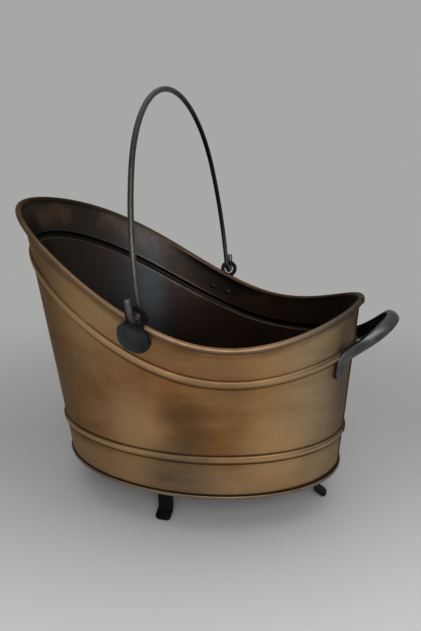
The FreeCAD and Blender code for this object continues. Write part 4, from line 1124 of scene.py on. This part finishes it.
# %% [markdown]
# ## The tail handle
# A strap is riveted to the wall on each side of the tail and leans out in a loop for the second
# hand. Its section is a rectangle with soft corners and, on the loop, a domed outer face. A bar along
# a curve would choose its own twist, so the section is carried along frames: flat against the wall at
# the tab, then turning over as a pulled curve takes it up and round to the tip. The far half mirrors
# the near one.

# %% Draw the section of a strap
CORNER_STEPS, FACE_STEPS, ROUND_LIMIT = 3, 8, 2.01
CORNERS = ((1, 1), (-1, 1), (-1, -1), (1, -1))
# Painted shade on the inner face of a strap and along its edges.
INNER_SHADE, EDGE_SHADE = 0.85, 0.5


def section_layout():
    """Points of a strap's section as a share across, a side and the look of its corner."""
    layout = []
    for number, (across, out) in enumerate(CORNERS):
        for step in range(CORNER_STEPS + 1):
            layout.append((across, out, math.pi / 2 * (number + step / CORNER_STEPS)))
        if number == 0:
            layout += [(1 - 2 * step / FACE_STEPS, out, math.pi / 2) for step in range(1, FACE_STEPS)]
    return layout


SECTION = section_layout()
SECTION_TURNS = list(range(len(SECTION)))


def section_point(turn, width, thick, rounding, dome):
    """Point of a rectangle with rounded corners and a domed outer face, as a place across and out."""
    share, side, look = SECTION[round(turn)]
    soft = min(rounding, width / ROUND_LIMIT, thick / ROUND_LIMIT)
    across = share * (width / 2 - soft) + soft * math.cos(look)
    out = side * (thick / 2 - soft) + soft * math.sin(look)
    if side > 0:
        out += dome * (1 - (2 * across / width) ** 2)
    return across, out


def strap_station(place, width, thick, rounding, dome=0.0, mirrored=1):
    """Station of a strap: X of the frame runs across it, Z out of its face."""
    def spot(turn):
        across, out = section_point(turn, width, thick, rounding, dome)
        point = place @ Vector((across, 0, out))
        return Vector((point.x, mirrored * point.y, point.z))

    # Painted shade: dark on the inner face and along the edges.
    def soot(turn):
        _, side, look = SECTION[round(turn)]
        return INNER_SHADE if side < 0 else EDGE_SHADE * math.cos(look) ** 2
    return spot, soot, 0.0, 0


print("points round a strap:", len(SECTION))

# %% Grow the tail handle
STRAP_WIDTH, STRAP_THICK, STRAP_ROUND = 14.7, 4.2, 0.9
LEG_SPREAD, SPREAD_PLACE, SPREAD_REACH = 5.0, 0.22, 0.18
TAB_ANGLE, TAB_DROP, TAB_LENGTH, TAB_BEDDING = math.radians(20.4), 75.2, 16.4, 0.5
TAB_DOME, LOOP_DOME, DOME_FULL = 0.1, 2.5, 0.45
LOOP_REACH, LOOP_DROP, TIP_TILT, TIP_PULL = 38.95, 17.4, math.radians(54.4), 45.0
TAB_SWEEP, LEG_PULL = 15.9, Vector((33.7, 19.6, 38.7))
TAB_END_STEPS, LOOP_STEPS = 6, 36


def pulled_curve(pulls, part):
    """Point of the smooth curve that is drawn along a row of pull points."""
    while len(pulls) > 1:
        pulls = [first.lerp(second, part) for first, second in zip(pulls, pulls[1:])]
    return pulls[0]


def handle_frames():
    """Frames, widths and domes of the near half, from the round end of the tab to the tip."""
    angle = -TAB_ANGLE
    low = rim_height(angle) - TAB_DROP
    bury = STRAP_THICK / 2 - TAB_BEDDING
    frames = []
    for step in range(1, TAB_END_STEPS + 1):
        turn = math.pi / 2 * step / TAB_END_STEPS
        spot = step_on_wall(angle, low, 0, STRAP_WIDTH / 2 * (1 - math.cos(turn)))
        frames.append((wall_frame(*spot, bury), STRAP_WIDTH * math.sin(turn), TAB_DOME))
    flat_end = wall_frame(*step_on_wall(angle, low, 0, TAB_LENGTH), bury)
    tip = plan_point(0.0, rim_height(0.0) - LOOP_DROP) + Vector((LOOP_REACH, 0, 0))
    pulls = [flat_end.translation, flat_end @ Vector((0, TAB_SWEEP, 0)), tip - LEG_PULL,
             tip - Vector((0, TIP_PULL, 0)), tip]
    ways = [second - first for first, second in zip(pulls, pulls[1:])]
    across_tab = flat_end.to_3x3() @ Vector((1, 0, 0))
    across_tip = Vector((math.sin(TIP_TILT), 0, -math.cos(TIP_TILT)))
    for step in range(LOOP_STEPS + 1):
        part = step / LOOP_STEPS
        forward = pulled_curve(ways, part).normalized()
        across = across_tab.lerp(across_tip, ease_in_out(part))
        across = (across - forward * across.dot(forward)).normalized()
        dome = TAB_DOME + (LOOP_DOME - TAB_DOME) * ease_in_out(share_of(part, 0.0, DOME_FULL))
        place = axes(pulled_curve(pulls, part), across, forward, across.cross(forward))
        spread = LEG_SPREAD * hump(part, SPREAD_PLACE, SPREAD_REACH)
        spread *= ease_in_out(share_of(part, 0.0, SPREAD_PLACE))
        frames.append((place, STRAP_WIDTH + spread, dome))
    return frames


near_half = handle_frames()
handle_stations = []
for half, mirrored in ((near_half, 1), (near_half[-2::-1], -1)):
    for place, width, dome in half:
        handle_stations.append(strap_station(place, width, STRAP_THICK, STRAP_ROUND, dome, mirrored))
handle_bm = bmesh.new()
grow_rings(handle_bm, SECTION_TURNS, handle_stations)
finish_piece(handle_bm, "tail_strap", [strap_finish], ["tail_handle"])

# %% Rivet the tail handle
TAB_RIVET_GAP = 9.4
TAB_GRIP = SHEET + BEDDING + STRAP_THICK - TAB_BEDDING
for side, label in SIDES:
    angle = side * TAB_ANGLE
    low = rim_height(angle) - TAB_DROP
    rises = (STRAP_WIDTH / 2, STRAP_WIDTH / 2 + TAB_RIVET_GAP)
    places = [head_inside(*step_on_wall(angle, low, 0, rise)) for rise in rises]
    rivets_piece(label + "_tab_rivet_pair", label + "_tail_rivets", places, TAB_GRIP,
                 [rivet_finish, strap_finish])

# %% [markdown]
# ## The feet
# Four short straps are riveted under the base. Each drops straight down and turns out to a sloping
# toe with rounded corners. Boxes could be joined at angles, but a bent strap is round at its bends.
# So it is grown along them, and then the floor plane trims the toe to a flat sole, just as grinding
# would.

# %% Bend the path of a foot
FOOT_WIDTH, FOOT_THICK, FOOT_ROUND = 18.5, 3.0, 0.6
FOOT_TAB, FOOT_BEND, FOOT_REACH, TOE_ROUND = 34.0, 4.0, 13.0, 5.0
TOE_SLOPE = math.radians(33.0)
BEND_STEPS = 8
TOE_ROWS = (TOE_ROUND, 3.4, 2.0, 1.0, 0.4, 0.1, 0.0)


def foot_bend(outward, up, side, start, end):
    """Points round one bend, as (outward, up, slope, width), from its centre and the side it bulges to."""
    points = []
    for step in range(BEND_STEPS + 1):
        turn = start + (end - start) * step / BEND_STEPS
        points.append((outward + side * FOOT_BEND * math.sin(turn),
                       up + side * FOOT_BEND * math.cos(turn), -turn, FOOT_WIDTH))
    return points


def foot_path():
    """Points of the bent strap, from the inner end of the tab to the toe."""
    middle = -FOOT_THICK / 2
    toe_start = FOOT_TAB + FOOT_BEND * (1 - math.sin(TOE_SLOPE))
    toe_end = FOOT_TAB + FOOT_REACH
    toe_top = (toe_end - toe_start) * math.tan(TOE_SLOPE) - BASE_HEIGHT
    leg_end = toe_top + FOOT_BEND * math.cos(TOE_SLOPE)
    path = [(0, middle, 0.0, FOOT_WIDTH)]
    path += foot_bend(FOOT_TAB - FOOT_BEND, middle - FOOT_BEND, 1, 0.0, math.pi / 2)
    path += foot_bend(FOOT_TAB + FOOT_BEND, leg_end, -1, math.pi / 2, TOE_SLOPE)
    length = (toe_end - toe_start) / math.cos(TOE_SLOPE)
    for short in TOE_ROWS:
        part = 1 - short / length
        half = FOOT_WIDTH / 2 - TOE_ROUND + math.sqrt(TOE_ROUND ** 2 - (TOE_ROUND - short) ** 2)
        path.append((toe_start + (toe_end - toe_start) * part,
                     toe_top + (-BASE_HEIGHT - toe_top) * part, -TOE_SLOPE, 2 * half))
    return path


print("points along a foot:", len(foot_path()))

# %% Grow the feet
FOOT_INSET_SIDE, FOOT_INSET_END, FOOT_SHIFT = 14.6, 12.5, -13.5
FOOT_RIVETS = (9.0, 24.0)
FOOT_GRIP = SHEET + BEDDING + FOOT_THICK


def foot_frame(azimuth, toe_distance, shift):
    """Frame with X outward and the inner end of the tab at its origin, under the base."""
    turn = Matrix.Rotation(math.radians(azimuth), 4, "Z")
    inner = turn @ Vector((toe_distance - FOOT_REACH - FOOT_TAB, 0, 0))
    return Matrix.Translation(inner + Vector((OVAL_CENTRE + shift, 0, BASE_HEIGHT))) @ turn


def foot_piece(name, node, place):
    bm = bmesh.new()
    stations = []
    for outward, up, slope, width in foot_path():
        way = Vector((math.cos(slope), 0, math.sin(slope)))
        across = Vector((0, 1, 0))
        station = place @ axes(Vector((outward, 0, up)), across, way, across.cross(way))
        stations.append(strap_station(station, width, FOOT_THICK, FOOT_ROUND))
    grow_rings(bm, SECTION_TURNS, stations)
    cut = bmesh.ops.bisect_plane(bm, geom=everything(bm), dist=FINE_WELD, plane_co=(0, 0, 0),
                                 plane_no=(0, 0, -1), clear_outer=True)["geom_cut"]
    bmesh.ops.edgeloop_fill(bm, edges=only(BMEdge, cut))
    bmesh.ops.recalc_face_normals(bm, faces=bm.faces)
    finish_piece(bm, name, [foot_finish], [node])


# Name, azimuth, distance of the toe from the middle, and shift along the bucket.
FEET = (
    ("near", -90, HALF_WIDTH - FOOT_INSET_SIDE, FOOT_SHIFT),
    ("far", 90, HALF_WIDTH - FOOT_INSET_SIDE, FOOT_SHIFT),
    ("lip", 180, LIP_HALF - FOOT_INSET_END, 0.0),
    ("tail", 0, TAIL_HALF - FOOT_INSET_END, 0.0),
)
for label, azimuth, toe_distance, shift in FEET:
    place = foot_frame(azimuth, toe_distance, shift)
    foot_piece(label + "_strap_foot", label + "_foot", place)
    heads = [place @ Matrix.Translation((way, 0, SHEET + BEDDING)) for way in FOOT_RIVETS]
    rivets_piece(label + "_foot_rivet_pair", label + "_foot_rivets", heads, FOOT_GRIP,
                 [rivet_finish, foot_finish])
